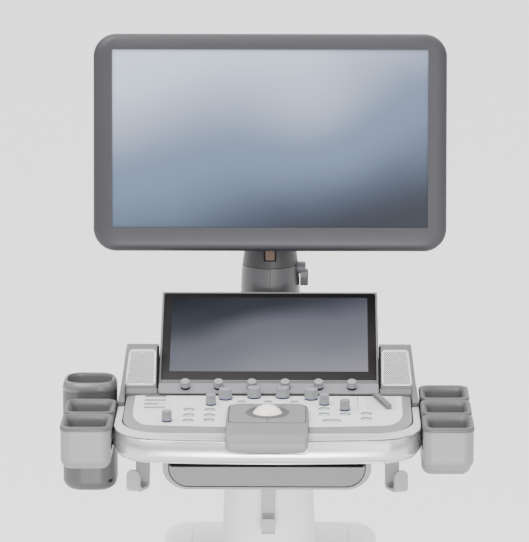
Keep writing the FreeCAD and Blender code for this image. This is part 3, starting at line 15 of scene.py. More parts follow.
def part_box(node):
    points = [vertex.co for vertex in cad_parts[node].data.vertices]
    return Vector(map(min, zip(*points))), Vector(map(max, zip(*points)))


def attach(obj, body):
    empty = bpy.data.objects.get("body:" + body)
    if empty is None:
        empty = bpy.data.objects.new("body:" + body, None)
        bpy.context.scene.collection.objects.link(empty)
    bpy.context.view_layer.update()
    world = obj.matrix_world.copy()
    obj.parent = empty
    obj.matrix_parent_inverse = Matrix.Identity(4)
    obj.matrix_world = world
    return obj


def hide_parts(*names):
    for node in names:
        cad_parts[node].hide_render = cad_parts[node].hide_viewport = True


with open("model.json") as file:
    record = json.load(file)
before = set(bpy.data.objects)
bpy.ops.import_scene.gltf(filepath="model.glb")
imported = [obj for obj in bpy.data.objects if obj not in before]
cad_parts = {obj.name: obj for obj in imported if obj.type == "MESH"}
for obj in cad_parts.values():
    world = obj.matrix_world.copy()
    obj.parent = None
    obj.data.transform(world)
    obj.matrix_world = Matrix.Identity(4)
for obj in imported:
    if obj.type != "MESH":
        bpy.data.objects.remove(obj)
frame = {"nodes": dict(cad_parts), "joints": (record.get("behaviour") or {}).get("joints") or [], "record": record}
NODES = frame["nodes"]
OWNER = {node: body for body, nodes in frame["record"]["behaviour"]["bodies"].items() for node in nodes}
SLOT = {part["node"]: part["material_slot"] for part in frame["record"]["subparts"]}
JOINT = {joint["name"]: joint for joint in frame["joints"]}
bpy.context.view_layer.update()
MM = 0.001
UP = Vector((0, 0, 1))

# %% [markdown]
# ## The camera
# A long lens a few metres off, a little above the console and looking slightly down, gives the flat,
# catalogue-like view in which uprights stay nearly parallel.

# %% Camera
CAMERA_PLACE = Vector((0.065, -5.88227, 2.10318))
CAMERA_PITCH = math.radians(10.878)
CAMERA_YAW = math.radians(0.697)
CAMERA_LENS = 268.9

lens = bpy.data.cameras.new("camera")
lens.sensor_width = 36.0
lens.lens = CAMERA_LENS
camera = bpy.data.objects.new("camera", lens)
bpy.context.collection.objects.link(camera)
ahead = Vector((
    -math.sin(CAMERA_YAW) * math.cos(CAMERA_PITCH),
    math.cos(CAMERA_YAW) * math.cos(CAMERA_PITCH),
    -math.sin(CAMERA_PITCH),
))
camera.location = CAMERA_PLACE
camera.rotation_euler = ahead.to_track_quat("-Z", "Y").to_euler()
bpy.context.scene.camera = camera
print("camera looks along", [round(c, 3) for c in ahead])

# %% [markdown]
# ## Node groups that several plastics share
# Injection-moulded covers have a fine spark-eroded grain from the mould, a slight unevenness of tone and
# a little dust on the faces that look up. One group makes all three, and each material sets its amounts.

# %% Shared shader groups


def new_group(name, inputs, outputs):
    """Empty shader group with these (label, kind, value) inputs and (label, kind) outputs."""
    tree = bpy.data.node_groups.new(name, "ShaderNodeTree")
    for label, kind, value in inputs:
        socket = tree.interface.new_socket(label, in_out="INPUT", socket_type=kind)
        socket.default_value = value
    for label, kind in outputs:
        tree.interface.new_socket(label, in_out="OUTPUT", socket_type=kind)
    return tree


def add(tree, kind, **settings):
    """New node whose named settings are set."""
    node = tree.nodes.new(kind)
    for key, value in settings.items():
        setattr(node, key, value)
    return node


def moulded_group():
    """Group: grain, uneven tone and settled dust of a moulded cover."""
    tree = new_group(
        "moulded_skin",
        [("Colour", "NodeSocketColor", (0.5, 0.5, 0.5, 1)), ("Roughness", "NodeSocketFloat", 0.4),
         ("Grain", "NodeSocketFloat", 900.0), ("Depth", "NodeSocketFloat", 0.00004),
         ("Unevenness", "NodeSocketFloat", 0.05), ("Dust", "NodeSocketFloat", 0.06)],
        [("Colour", "NodeSocketColor"), ("Roughness", "NodeSocketFloat"), ("Normal", "NodeSocketVector")],
    )
    link = tree.links.new
    given = add(tree, "NodeGroupInput")
    out = add(tree, "NodeGroupOutput")
    where = add(tree, "ShaderNodeTexCoord")
    grain = add(tree, "ShaderNodeTexNoise")
    link(where.outputs["Object"], grain.inputs["Vector"])
    link(given.outputs["Grain"], grain.inputs["Scale"])
    bump = add(tree, "ShaderNodeBump")
    bump.inputs["Strength"].default_value = 1.0
    link(grain.outputs["Fac"], bump.inputs["Height"])
    link(given.outputs["Depth"], bump.inputs["Distance"])
    link(bump.outputs["Normal"], out.inputs["Normal"])
    patches = add(tree, "ShaderNodeTexNoise")
    patches.inputs["Scale"].default_value = 7.0
    patches.inputs["Detail"].default_value = 4.0
    link(where.outputs["Object"], patches.inputs["Vector"])
    centred = add(tree, "ShaderNodeMath", operation="SUBTRACT")
    link(patches.outputs["Fac"], centred.inputs[0])
    centred.inputs[1].default_value = 0.5
    swing = add(tree, "ShaderNodeMath", operation="MULTIPLY_ADD")
    link(centred.outputs[0], swing.inputs[0])
    link(given.outputs["Unevenness"], swing.inputs[1])
    swing.inputs[2].default_value = 1.0
    toned = add(tree, "ShaderNodeVectorMath", operation="SCALE")
    link(given.outputs["Colour"], toned.inputs[0])
    link(swing.outputs[0], toned.inputs["Scale"])
    facing = add(tree, "ShaderNodeNewGeometry")
    split = add(tree, "ShaderNodeSeparateXYZ")
    link(facing.outputs["Normal"], split.inputs[0])
    upward = add(tree, "ShaderNodeMapRange")
    upward.inputs["From Min"].default_value = 0.6
    link(split.outputs["Z"], upward.inputs["Value"])
    specks = add(tree, "ShaderNodeTexNoise")
    specks.inputs["Scale"].default_value = 60.0
    specks.inputs["Detail"].default_value = 6.0
    link(where.outputs["Object"], specks.inputs["Vector"])
    settled = add(tree, "ShaderNodeMath", operation="MULTIPLY")
    link(upward.outputs[0], settled.inputs[0])
    link(specks.outputs["Fac"], settled.inputs[1])
    amount = add(tree, "ShaderNodeMath", operation="MULTIPLY")
    link(settled.outputs[0], amount.inputs[0])
    link(given.outputs["Dust"], amount.inputs[1])
    dusty = add(tree, "ShaderNodeMix", data_type="RGBA")
    link(amount.outputs[0], dusty.inputs["Factor"])
    link(toned.outputs[0], dusty.inputs["A"])
    dusty.inputs["B"].default_value = (0.7, 0.7, 0.68, 1)
    link(dusty.outputs["Result"], out.inputs["Colour"])
    rougher = add(tree, "ShaderNodeMath", operation="MULTIPLY_ADD")
    link(centred.outputs[0], rougher.inputs[0])
    rougher.inputs[1].default_value = 0.12
    link(given.outputs["Roughness"], rougher.inputs[2])
    dull = add(tree, "ShaderNodeMath", operation="ADD")
    link(rougher.outputs[0], dull.inputs[0])
    link(amount.outputs[0], dull.inputs[1])
    link(dull.outputs[0], out.inputs["Roughness"])
    return tree


MOULDED = moulded_group()


def plastic(name, colour, roughness=0.4, grain=900.0, depth=0.03, unevenness=0.05, dust=0.06, coat=0.0,
            metallic=0.0, gloss=0.5):
    """Moulded or painted finish; depth is the grain's height in mm."""
    material = bpy.data.materials.new(name)
    material.use_nodes = True
    tree = material.node_tree
    skin = add(tree, "ShaderNodeGroup", node_tree=MOULDED)
    skin.inputs["Colour"].default_value = (*colour, 1)
    skin.inputs["Roughness"].default_value = roughness
    skin.inputs["Grain"].default_value = grain
    skin.inputs["Depth"].default_value = depth * MM
    skin.inputs["Unevenness"].default_value = unevenness
    skin.inputs["Dust"].default_value = dust
    shader = tree.nodes["Principled BSDF"]
    shader.inputs["Coat Weight"].default_value = coat
    shader.inputs["Coat Roughness"].default_value = 0.12
    shader.inputs["Metallic"].default_value = metallic
    shader.inputs["Specular IOR Level"].default_value = gloss
    tree.links.new(skin.outputs["Colour"], shader.inputs["Base Color"])
    tree.links.new(skin.outputs["Roughness"], shader.inputs["Roughness"])
    tree.links.new(skin.outputs["Normal"], shader.inputs["Normal"])
    return material


# %% [markdown]
# ## The finishes
# White covers, light grey console mouldings, darker grey fittings, silvered trim, rubber and glass.

# %% Finishes
FINISH = {
    "chassis_paint": plastic("chassis_paint", (0.05, 0.05, 0.055), 0.5, grain=400, depth=0.05),
    "white_cover": plastic("white_cover", (0.80, 0.79, 0.785), 0.42),
    "light_grey_plastic": plastic("light_grey_plastic", (0.33, 0.33, 0.335), 0.42),
    "mid_grey_plastic": plastic("mid_grey_plastic", (0.13, 0.13, 0.135), 0.42),
    "dark_grey_plastic": plastic("dark_grey_plastic", (0.075, 0.075, 0.08), 0.45),
    "black_plastic": plastic("black_plastic", (0.02, 0.02, 0.022), 0.3),
    "bright_metal": plastic("bright_metal", (0.6, 0.6, 0.62), 0.3, metallic=1.0),
    "silver_plastic": plastic("silver_plastic", (0.60, 0.597, 0.605), 0.26, metallic=0.85, dust=0.0),
    "deck_plastic": plastic("deck_plastic", (0.18, 0.18, 0.188), 0.42),
    "plate_plastic": plastic("plate_plastic", (0.66, 0.655, 0.65), 0.4),
    "grille_plastic": plastic("grille_plastic", (0.55, 0.55, 0.55), 0.45),
    "screen_glass": plastic("screen_glass", (0.02, 0.02, 0.022), 0.15, depth=0.0, coat=1.0),
    "knob_plastic": plastic("knob_plastic", (0.21, 0.215, 0.225), 0.38),
    "bracket_paint": plastic("bracket_paint", (0.075, 0.05, 0.042), 0.5),
    "bezel_plastic": plastic("bezel_plastic", (0.024, 0.0245, 0.029), 0.42),
    "ball_plastic": plastic("ball_plastic", (0.88, 0.80, 0.71), 0.18, depth=0.0, coat=0.8),
    "key_plastic": plastic("key_plastic", (0.60, 0.60, 0.61), 0.38),
    "wheel_rubber": plastic("wheel_rubber", (0.03, 0.03, 0.033), 0.6, grain=600, depth=0.08),
}
HOLDER_GREY = plastic("holder_grey", (0.195, 0.192, 0.196), 0.40)
PALM_GREY = plastic("palm_grey", (0.17, 0.168, 0.171), 0.44)
POD_GREY = plastic("pod_grey", (0.105, 0.103, 0.107), 0.40)
NECK_GREY = plastic("neck_grey", (0.052, 0.052, 0.056), 0.36, coat=0.15)
WARMER_GREY = plastic("warmer_grey", (0.064, 0.063, 0.064), 0.40)
COLLAR_GREY = plastic("collar_grey", (0.105, 0.103, 0.105), 0.26, coat=0.35)
POD_FACE = plastic("pod_face_grey", (0.108, 0.106, 0.109), 0.40)
STRIP_GREY = plastic("strip_grey", (0.165, 0.168, 0.175), 0.42)
# Dark grey for seams, and for the painted shadow under the touch glass's lower edge.
SEAM_AND_SHADOW_GREY = plastic("seam_and_shadow_grey", (0.075, 0.078, 0.082), 0.5)
RING_GREY = plastic("ring_grey", (0.058, 0.058, 0.06), 0.4)
BAY_GREY = plastic("bay_grey", (0.19, 0.188, 0.19), 0.42)
HOOK_GREY = plastic("hook_grey", (0.27, 0.267, 0.27), 0.42)
TRAY_GREY = plastic("tray_grey", (0.11, 0.108, 0.111), 0.42)
LINER_GREY = plastic("liner_grey", (0.072, 0.072, 0.076), 0.42)
# Near-black, barely glossy: paints the shade in the gap beside each pod, inside the head's slot and over the
# drawer.
PAINTED_GAP_SHADE = plastic("pod_gap_painted_shade", (0.006, 0.006, 0.0065), 0.6, depth=0.02, dust=0.0, gloss=0.05)
# Painted shade: the swivel head takes a darker copy of the neck's grey, for the monitor's shadow over it.
HEAD_SHADED_GREY = plastic("head_grey", (0.032, 0.032, 0.034), 0.42)
PAINT = {
    "tilt_bracket": FINISH["bracket_paint"], "monitor_back": FINISH["bezel_plastic"],
    "holder_left": HOLDER_GREY, "holder_right": HOLDER_GREY, "rear_housing": POD_GREY,
    "neck_cover_left": NECK_GREY,
    "neck_cover_right": NECK_GREY, "swivel_head": HEAD_SHADED_GREY, "gel_warmer": WARMER_GREY,
    "drawer_tray": TRAY_GREY, "cable_hooks": HOOK_GREY, "touch_housing": POD_GREY,
    "drawer_surround": BAY_GREY,
}
print(len(FINISH), "finishes")

# %% [markdown]
# ## Rounding the mouldings' edges
# No moulded edge is knife-sharp: each carries a radius of half a millimetre or more that catches light.
# The CAD pieces are merged copies whose sharp edges are bevelled, and each copy stands for its node. A few
# are also shaped a little further: the pods' sides lean in, the neck covers and swivel head broaden
# upwards, and the hooks' tabs are rounded at their corners.

# %% Rounded copies of the CAD pieces
EDGE_R = {
    "base_cover": 2.0, "electronics_case": 1.6, "pedestal_cover": 1.2, "deck": 0.8, "key_plate": 0.5,
    "rear_housing": 1.4, "holder_left": 1.4, "holder_right": 1.4, "gel_warmer": 1.0, "rear_handle": 2.0,
    "monitor_back": 1.6,
}
SMALL_EDGE_R = 0.5
POD_FOOT = 0.792
POD_SIDE = 0.2145
POD_LEAN = 0.045
POD_CROWN = 0.850
CROWN_DROP = 0.0028
POD_WALL = 0.012
POD_FRONT = -0.053
NECK_GROWTH = 0.05
NECK_FOOT = 0.85
NECK_RISE = 0.08
HOOK_FRONT = -0.212
TAB_T = 0.0045
TAB_R = 0.0085
LEVEL_SLACK = 0.0005
SHARP = math.radians(32)
FLAT = math.radians(0.6)
MERGE = 0.00002


def finish_mesh(obj, material, body):
    """Shades a made piece, paints it and puts it on its body."""
    obj.data.shade_smooth()
    obj.data.set_sharp_from_angle(angle=SHARP)
    obj.data.materials.clear()
    obj.data.materials.append(material)
    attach(obj, body)
    return obj


def to_object(bm, name):
    """Object from a bmesh, with its faces turned outwards."""
    mesh = bpy.data.meshes.new(name)
    bmesh.ops.recalc_face_normals(bm, faces=bm.faces)
    bm.to_mesh(mesh)
    bm.free()
    obj = bpy.data.objects.new(name, mesh)
    bpy.context.collection.objects.link(obj)
    return obj


def even_shading(obj):
    """Lets the large faces set the shading, so that flats look flat beside their rounded edges."""
    weighted = obj.modifiers.new("even_shading", "WEIGHTED_NORMAL")
    weighted.keep_sharp = True
    return obj


def merged(node):
    """Bmesh copy of a CAD node with its loose triangles joined and its flats made whole."""
    bm = bmesh.new()
    bm.from_mesh(NODES[node].data)
    bmesh.ops.remove_doubles(bm, verts=bm.verts, dist=MERGE)
    bmesh.ops.dissolve_limit(bm, angle_limit=FLAT, verts=bm.verts, edges=bm.edges)
    return bm


def settle_pods(bm):
    """Leans the pods' outer sides in towards their tops and lowers their crowns a little."""
    for v in bm.verts:
        height = v.co.z - POD_FOOT
        if height > 0 and v.co.y > POD_FRONT and abs(v.co.x) > POD_SIDE - POD_WALL:
            v.co.x = math.copysign(min(abs(v.co.x), POD_SIDE - POD_LEAN * height), v.co.x)
        if v.co.z > POD_CROWN:
            v.co.z -= CROWN_DROP


def widen_neck(bm):
    """Broadens the neck towards its rim, round the monitor's swivel axis."""
    axis_y = JOINT["monitor_swivel"]["pos_m"][1]
    for v in bm.verts:
        grown = 1 + NECK_GROWTH * min(max((v.co.z - NECK_FOOT) / NECK_RISE, 0), 1)
        v.co.x *= grown
        v.co.y = axis_y + (v.co.y - axis_y) * grown


def round_tabs(bm):
    """Rounds the upper corners of the hooks' front tabs."""
    tab_top = max(v.co.z for v in bm.verts if v.co.y < HOOK_FRONT)
    corners = [e for e in bm.edges if all(abs(v.co.z - tab_top) < LEVEL_SLACK for v in e.verts)
               and e.calc_length() < TAB_T * 1.5 and max(v.co.y for v in e.verts) < HOOK_FRONT]
    bmesh.ops.bevel(bm, geom=corners, offset=TAB_R, segments=8, profile=0.5, affect="EDGES", material=-1)


def softened(node):
    """Merged copy of a CAD node with rounded edges, which stands for the node."""
    radius = EDGE_R.get(node, SMALL_EDGE_R) * MM
    bm = merged(node)
    if node in RESHAPED:
        RESHAPED[node](bm)
    edges = [e for e in bm.edges if e.is_manifold and e.calc_face_angle(0) > SHARP]
    if edges:
        bmesh.ops.bevel(bm, geom=edges, offset=radius, segments=2, profile=0.5, affect="EDGES",
                        clamp_overlap=False, material=-1)
    piece = to_object(bm, node + "_skin")
    finish_mesh(piece, PAINT.get(node, FINISH[SLOT[node]]), OWNER[node])
    even_shading(piece)
    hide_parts(node)
    return piece


RESHAPED = {
    "rear_housing": settle_pods, "cable_hooks": round_tabs, "neck_cover_left": widen_neck,
    "neck_cover_right": widen_neck, "swivel_head": widen_neck,
}
MADE_BY_HAND = {
    "monitor_bezel", "monitor_panel", "touch_glass", "round_keys", "bar_keys", "soft_knobs", "gain_knob",
    "depth_knob", "zoom_knob", "focus_knob", "mode_knob", "angle_knob", "baseline_knob", "steer_knob",
    "speaker_grilles", "trackball", "trackball_ring", "palm_rest", "trackball_keys", "console_rail",
    "lock_lever", "warmer_collar", "cup_liners",
}
for node in NODES:
    if node not in MADE_BY_HAND:
        softened(node)
print("rounded", len(NODES) - len(MADE_BY_HAND), "pieces")

# %% [markdown]
# ## Two ways to make a form
# Most mouldings here are rounded rectangles in section, so one helper stacks such outlines and skins them.
# Knobs, ring and ball are turned parts, so the other spins a half profile about its axis.

# %% Stacked and turned forms


def oblong(bm, width, depth, radius, level, shift=(0, 0), turn=6):
    """Circle whose quarters are moved apart into a rounded rectangle at this level; all in mm.

    A pair of radii is for the front and the back corners.
    """
    steps = 4 * turn
    half_step = Matrix.Rotation(math.pi / steps, 4, "Z")
    made = bmesh.ops.create_circle(bm, segments=steps, radius=MM, matrix=half_step)
    front, back = radius if isinstance(radius, tuple) else (radius, radius)
    for v in made["verts"]:
        corner = front if v.co.y < 0 else back
        v.co.x = v.co.x * corner + math.copysign(width / 2 - corner, v.co.x) * MM + shift[0] * MM
        v.co.y = v.co.y * corner + math.copysign(depth / 2 - corner, v.co.y) * MM + shift[1] * MM
        v.co.z = level * MM
    return list({e for v in made["verts"] for e in v.link_edges})


def stacked(name, rings, place, turn=6, foot=True, head=True):
    """Skin over a stack of outlines, each (width, depth, radius, level[, shift]), laid at a place."""
    bm = bmesh.new()
    loops = [oblong(bm, *ring, turn=turn) for ring in rings]
    level_of = {v: v.co.z for v in bm.verts}
    for i, loop in enumerate(loops):  # spread far apart, so that each pair bridges without a twist
        for v in {v for edge in loop for v in edge.verts}:
            v.co.z = i
    for low, high in zip(loops, loops[1:]):
        bmesh.ops.bridge_loops(bm, edges=low + high)
    for v, level in level_of.items():
        v.co.z = level
    if foot:
        bmesh.ops.contextual_create(bm, geom=loops[0])
    if head:
        bmesh.ops.contextual_create(bm, geom=loops[-1])
    bmesh.ops.transform(bm, matrix=place, verts=bm.verts)
    return to_object(bm, name)


def turned(name, profile, place, steps=32, flutes=None):
    """Form spun from (radius, level) points in mm; flutes=(low, high, depth) cuts grooves between levels."""
    bm = bmesh.new()
    points = [bm.verts.new((r * MM, 0, z * MM)) for r, z in profile]
    edges = [bm.edges.new(pair) for pair in zip(points, points[1:])]
    bmesh.ops.spin(bm, geom=points + edges, axis=UP, cent=(0, 0, 0), steps=steps, angle=2 * math.pi,
                   use_merge=True, use_duplicate=False)
    bmesh.ops.remove_doubles(bm, verts=bm.verts, dist=MERGE)
    if flutes:
        low, high, depth = flutes
        for v in bm.verts:
            turn = round(math.atan2(v.co.y, v.co.x) / (2 * math.pi) * steps)
            if turn % 3 == 0 and low * MM <= v.co.z <= high * MM:
                across = math.hypot(v.co.x, v.co.y)
                v.co.xy *= 1 - depth * MM / across
    bmesh.ops.transform(bm, matrix=place, verts=bm.verts)
    return to_object(bm, name)


def islands(node):
    """(centre, size) of each solid in a CAD node, in metres, from left to right and front to back."""
    bm = bmesh.new()
    bm.from_mesh(NODES[node].data)
    bmesh.ops.remove_doubles(bm, verts=bm.verts, dist=MERGE)
    left = set(bm.verts)
    found = []
    while left:
        group = {left.pop()}
        edge_of = list(group)
        while edge_of:
            vert = edge_of.pop()
            near = {e.other_vert(vert) for e in vert.link_edges} & left
            left -= near
            group |= near
            edge_of += near
        low = Vector([min(v.co[i] for v in group) for i in range(3)])
        high = Vector([max(v.co[i] for v in group) for i in range(3)])
        found.append(((low + high) / 2, high - low))
    bm.free()
    return sorted(found, key=lambda box: (round(box[0].x, 3), round(box[0].y, 3)))


print("keys on the console:", len(islands("round_keys")), "round,", len(islands("bar_keys")), "bars")

# %% [markdown]
# ## Places that the pieces are drawn in
# The monitor, the touch panel and the key deck each lean by their own angle. A matrix for each lets a piece
# be drawn flat and then laid where the CAD has it.

# %% Drawing places
MONITOR_LEAN = math.radians(8)
TOUCH_LEAN = math.radians(30)
DECK_LEAN = math.radians(3.5)
PANEL_HALF_T = 7.5


def middle(node):
    """Centre of a CAD node's box."""
    low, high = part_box(node)
    return (low + high) / 2


def width_of(node):
    """Width of a CAD node in mm."""
    low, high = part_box(node)
    return (high.x - low.x) / MM


MONITOR = Matrix.Translation(middle("monitor_panel")) @ Matrix.Rotation(-MONITOR_LEAN, 4, "X")
UPRIGHT = Matrix.Rotation(math.pi / 2, 4, "X")
MONITOR_FACE = MONITOR @ Matrix.Translation((0, -PANEL_HALF_T * MM, 0)) @ UPRIGHT
TOUCH_FACE = Matrix.Translation(middle("touch_glass")) @ Matrix.Rotation(TOUCH_LEAN, 4, "X")
DECK_ORIGIN = Vector((0, -0.071, 0.798))
DECK = Matrix.Translation(DECK_ORIGIN) @ Matrix.Rotation(DECK_LEAN, 4, "X")


def on_deck(point):
    """(x, y) in mm of a point, measured in the deck's own plane."""
    flat = DECK.inverted() @ Vector(point)
    return flat.x / MM, flat.y / MM


def deck_place(point, level=0.0):
    """Place on the deck below a point, this many mm above the key plate."""
    x, y = on_deck(point)
    return DECK @ Matrix.Translation((x * MM, y * MM, level * MM))


print("monitor face at", [round(c, 3) for c in MONITOR_FACE.translation])

# %% [markdown]
# ## Screens
# Both screens are off: a dark panel behind glass that mirrors the room as a soft gradient. The gradient is a
# painted reflection in the panel's finish, with a painted highlight patch and a clear coat for the gloss of the
# glass.

# %% Screen finish


def screen_painted_reflection():
    """Group: a painted reflection, a height across and up a picture from 0 to 1, with a soft brighter patch of
    painted highlight.
    """
    tree = new_group(
        "screen_painted_reflection",
        [("Centre", "NodeSocketVector", (0, 0, 0)), ("Across", "NodeSocketFloat", 1.0),
         ("Up", "NodeSocketFloat", 1.0), ("Patch", "NodeSocketVector", (0, 0, 0)),
         ("Patch Size", "NodeSocketFloat", 0.1), ("Patch Light", "NodeSocketFloat", 0.2)],
        [("Value", "NodeSocketFloat")],
    )
    link = tree.links.new
    given = add(tree, "NodeGroupInput")
    out = add(tree, "NodeGroupOutput")
    where = add(tree, "ShaderNodeTexCoord")
    offset = add(tree, "ShaderNodeVectorMath", operation="SUBTRACT")
    link(where.outputs["Object"], offset.inputs[0])
    link(given.outputs["Centre"], offset.inputs[1])
    split = add(tree, "ShaderNodeSeparateXYZ")
    link(offset.outputs[0], split.inputs[0])
    across = add(tree, "ShaderNodeMath", operation="MULTIPLY")
    link(split.outputs["X"], across.inputs[0])
    link(given.outputs["Across"], across.inputs[1])
    slope = add(tree, "ShaderNodeMath", operation="MULTIPLY_ADD")
    link(split.outputs["Z"], slope.inputs[0])
    link(given.outputs["Up"], slope.inputs[1])
    link(across.outputs[0], slope.inputs[2])
    haze = add(tree, "ShaderNodeTexNoise")
    haze.inputs["Scale"].default_value = 5.0
    link(where.outputs["Object"], haze.inputs["Vector"])
    hazy = add(tree, "ShaderNodeMath", operation="MULTIPLY_ADD")
    link(haze.outputs["Fac"], hazy.inputs[0])
    hazy.inputs[1].default_value = 0.12
    link(slope.outputs[0], hazy.inputs[2])
    gap = add(tree, "ShaderNodeVectorMath", operation="DISTANCE")
    link(where.outputs["Object"], gap.inputs[0])
    link(given.outputs["Patch"], gap.inputs[1])
    near = add(tree, "ShaderNodeMapRange", interpolation_type="SMOOTHSTEP")
    link(gap.outputs["Value"], near.inputs["Value"])
    link(given.outputs["Patch Size"], near.inputs["From Max"])
    near.inputs["To Min"].default_value = 1.0
    near.inputs["To Max"].default_value = 0.0
    lit = add(tree, "ShaderNodeMath", operation="MULTIPLY")
    link(near.outputs[0], lit.inputs[0])
    link(given.outputs["Patch Light"], lit.inputs[1])
    total = add(tree, "ShaderNodeMath", operation="ADD")
    link(hazy.outputs[0], total.inputs[0])
    link(lit.outputs[0], total.inputs[1])
    centred = add(tree, "ShaderNodeMath", operation="ADD")
    link(total.outputs[0], centred.inputs[0])
    centred.inputs[1].default_value = 0.44
    link(centred.outputs[0], out.inputs["Value"])
    return tree


PAINTED_SCREEN_REFLECTION = screen_painted_reflection()


def screen(name, stops, centre, across, up, patch, patch_size, patch_light, roughness=0.22, coat=0.6,
           gloss=0.5):
    """Switched-off glossy screen whose painted reflection runs over these (position, colour) stops."""
    material = bpy.data.materials.new(name)
    material.use_nodes = True
    tree = material.node_tree
    tone = add(tree, "ShaderNodeGroup", node_tree=PAINTED_SCREEN_REFLECTION)
    tone.inputs["Centre"].default_value = centre
    tone.inputs["Across"].default_value = across
    tone.inputs["Up"].default_value = up
    tone.inputs["Patch"].default_value = patch
    tone.inputs["Patch Size"].default_value = patch_size
    tone.inputs["Patch Light"].default_value = patch_light
    ramp = add(tree, "ShaderNodeValToRGB")
    ramp.color_ramp.interpolation = "EASE"
    for spot, colour in stops[1:-1]:
        ramp.color_ramp.elements.new(spot)
    for element, (spot, colour) in zip(ramp.color_ramp.elements, stops):
        element.position = spot
        element.color = (*colour, 1)
    shader = tree.nodes["Principled BSDF"]
    tree.links.new(tone.outputs["Value"], ramp.inputs["Fac"])
    tree.links.new(ramp.outputs["Color"], shader.inputs["Base Color"])
    shader.inputs["Roughness"].default_value = roughness
    shader.inputs["Specular IOR Level"].default_value = gloss
    shader.inputs["Coat Weight"].default_value = coat
    shader.inputs["Coat Roughness"].default_value = 0.05
    return material


# Painted reflections: each screen's gradient and brighter patch stand for the room mirrored in its glass.
MONITOR_PICTURE = screen(
    "monitor_picture",
    [(0.0, (0.006, 0.009, 0.018)), (0.5, (0.085, 0.118, 0.18)), (1.0, (0.36, 0.41, 0.52))],
    centre=middle("monitor_panel"), across=-0.8, up=2.9,
    patch=middle("monitor_panel") + Vector((0.08, 0, 0.03)), patch_size=0.16, patch_light=0.16,
)
TOUCH_PICTURE = screen(
    "touch_picture",
    [(0.0, (0.003, 0.0035, 0.005)), (0.28, (0.016, 0.018, 0.024)), (0.5, (0.060, 0.062, 0.078)),
     (1.0, (0.14, 0.14, 0.155))],
    centre=middle("touch_glass"), across=0.9, up=-6.0,
    patch=middle("touch_glass"), patch_size=0.12, patch_light=0.08, gloss=0.06, coat=0.04,
)
TOUCH_BORDER = screen(
    "touch_border",
    [(0.0, (0.005, 0.005, 0.0055)), (0.5, (0.018, 0.0165, 0.017)), (1.0, (0.036, 0.034, 0.035))],
    centre=middle("touch_glass"), across=-0.6, up=-6.5,
    patch=middle("touch_glass"), patch_size=0.05, patch_light=0.0, gloss=0.0, coat=0.0,
)
print("screens:", MONITOR_PICTURE.name, TOUCH_PICTURE.name)

# %% [markdown]
# ## The monitor's front frame
# One moulding: a flat field round the picture, with rounded lower corners, and broad sides that roll away
# to the back. It is skinned over outlines from the rear edge, over the roll, to the window's inner edge.

# %% Monitor frame and picture
PICTURE_W = width_of("monitor_panel") - 10
PICTURE_H = PICTURE_W * 9 / 16
SIDE = 28.5
FOOT = 36.0
HEAD = 24.0
FRAME_R = 35.0
FRAME_T = 24.0
ROLL_SIDE = 23.0
ROLL_FOOT = 15.0
ROLL_HEAD = 6.0
GLASS_DEPTH = 2.8


def frame_ring(side, foot, head, radius, level):
    """Outline of the monitor frame drawn in at its sides, foot and head."""
    wide = PICTURE_W + 2 * (SIDE - side)
    tall = PICTURE_H + FOOT + HEAD - foot - head
    return (wide, tall, radius, level, (0, (HEAD - FOOT + foot - head) / 2))


rings = [
    frame_ring(3, 3, 3, FRAME_R - 3, -FRAME_T),
    frame_ring(0, 0, 0, FRAME_R, -15),
    frame_ring(0, 0, 0, FRAME_R, -9.5),
    frame_ring(0.8, 0.6, 0.3, FRAME_R - 0.6, -7.4),
    frame_ring(3.4, 2.2, 0.9, FRAME_R - 2, -5),
    frame_ring(8, 5.2, 2, FRAME_R - 5, -3),
    frame_ring(15, 10, 3.9, FRAME_R - 10, -1.1),
    frame_ring(ROLL_SIDE, ROLL_FOOT, ROLL_HEAD, 20, 0),
    (PICTURE_W, PICTURE_H, 1.2, 0),
    (PICTURE_W, PICTURE_H, 1.2, -GLASS_DEPTH - 1),
]
bezel = stacked("monitor_frame", rings, MONITOR_FACE, turn=10, foot=False, head=False)
finish_mesh(bezel, FINISH["bezel_plastic"], "monitor")
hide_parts("monitor_bezel")

picture = stacked(
    "monitor_picture_glass",
    [(PICTURE_W + 10, PICTURE_H + 10, 2, -12), (PICTURE_W + 10, PICTURE_H + 10, 2, -GLASS_DEPTH)],
    MONITOR_FACE, turn=3,
)
finish_mesh(picture, MONITOR_PICTURE, "monitor")
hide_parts("monitor_panel")

SENSOR = (-190.0, -PICTURE_H / 2 - FOOT + 7.5)
window = stacked(
    "monitor_sensor_window",
    [(10, 5.5, 1.6, -4), (10, 5.5, 1.6, -0.4), (9.4, 4.9, 1.3, 0.0)],
    MONITOR_FACE @ Matrix.Translation((SENSOR[0] * MM, SENSOR[1] * MM, -2.2 * MM))
    @ Matrix.Rotation(math.radians(22), 4, "X"), turn=3,
)
finish_mesh(window, FINISH["black_plastic"], "monitor")
print("monitor frame", round(PICTURE_W + 2 * SIDE), "by", round(PICTURE_H + FOOT + HEAD), "mm")

# %% [markdown]
# ## The touch panel's glass
# A sheet of glass with a dark printed border; the picture area shows through in the middle. The border and
# the picture are two thin sheets, so each keeps its own tone and its own painted reflection gradient.

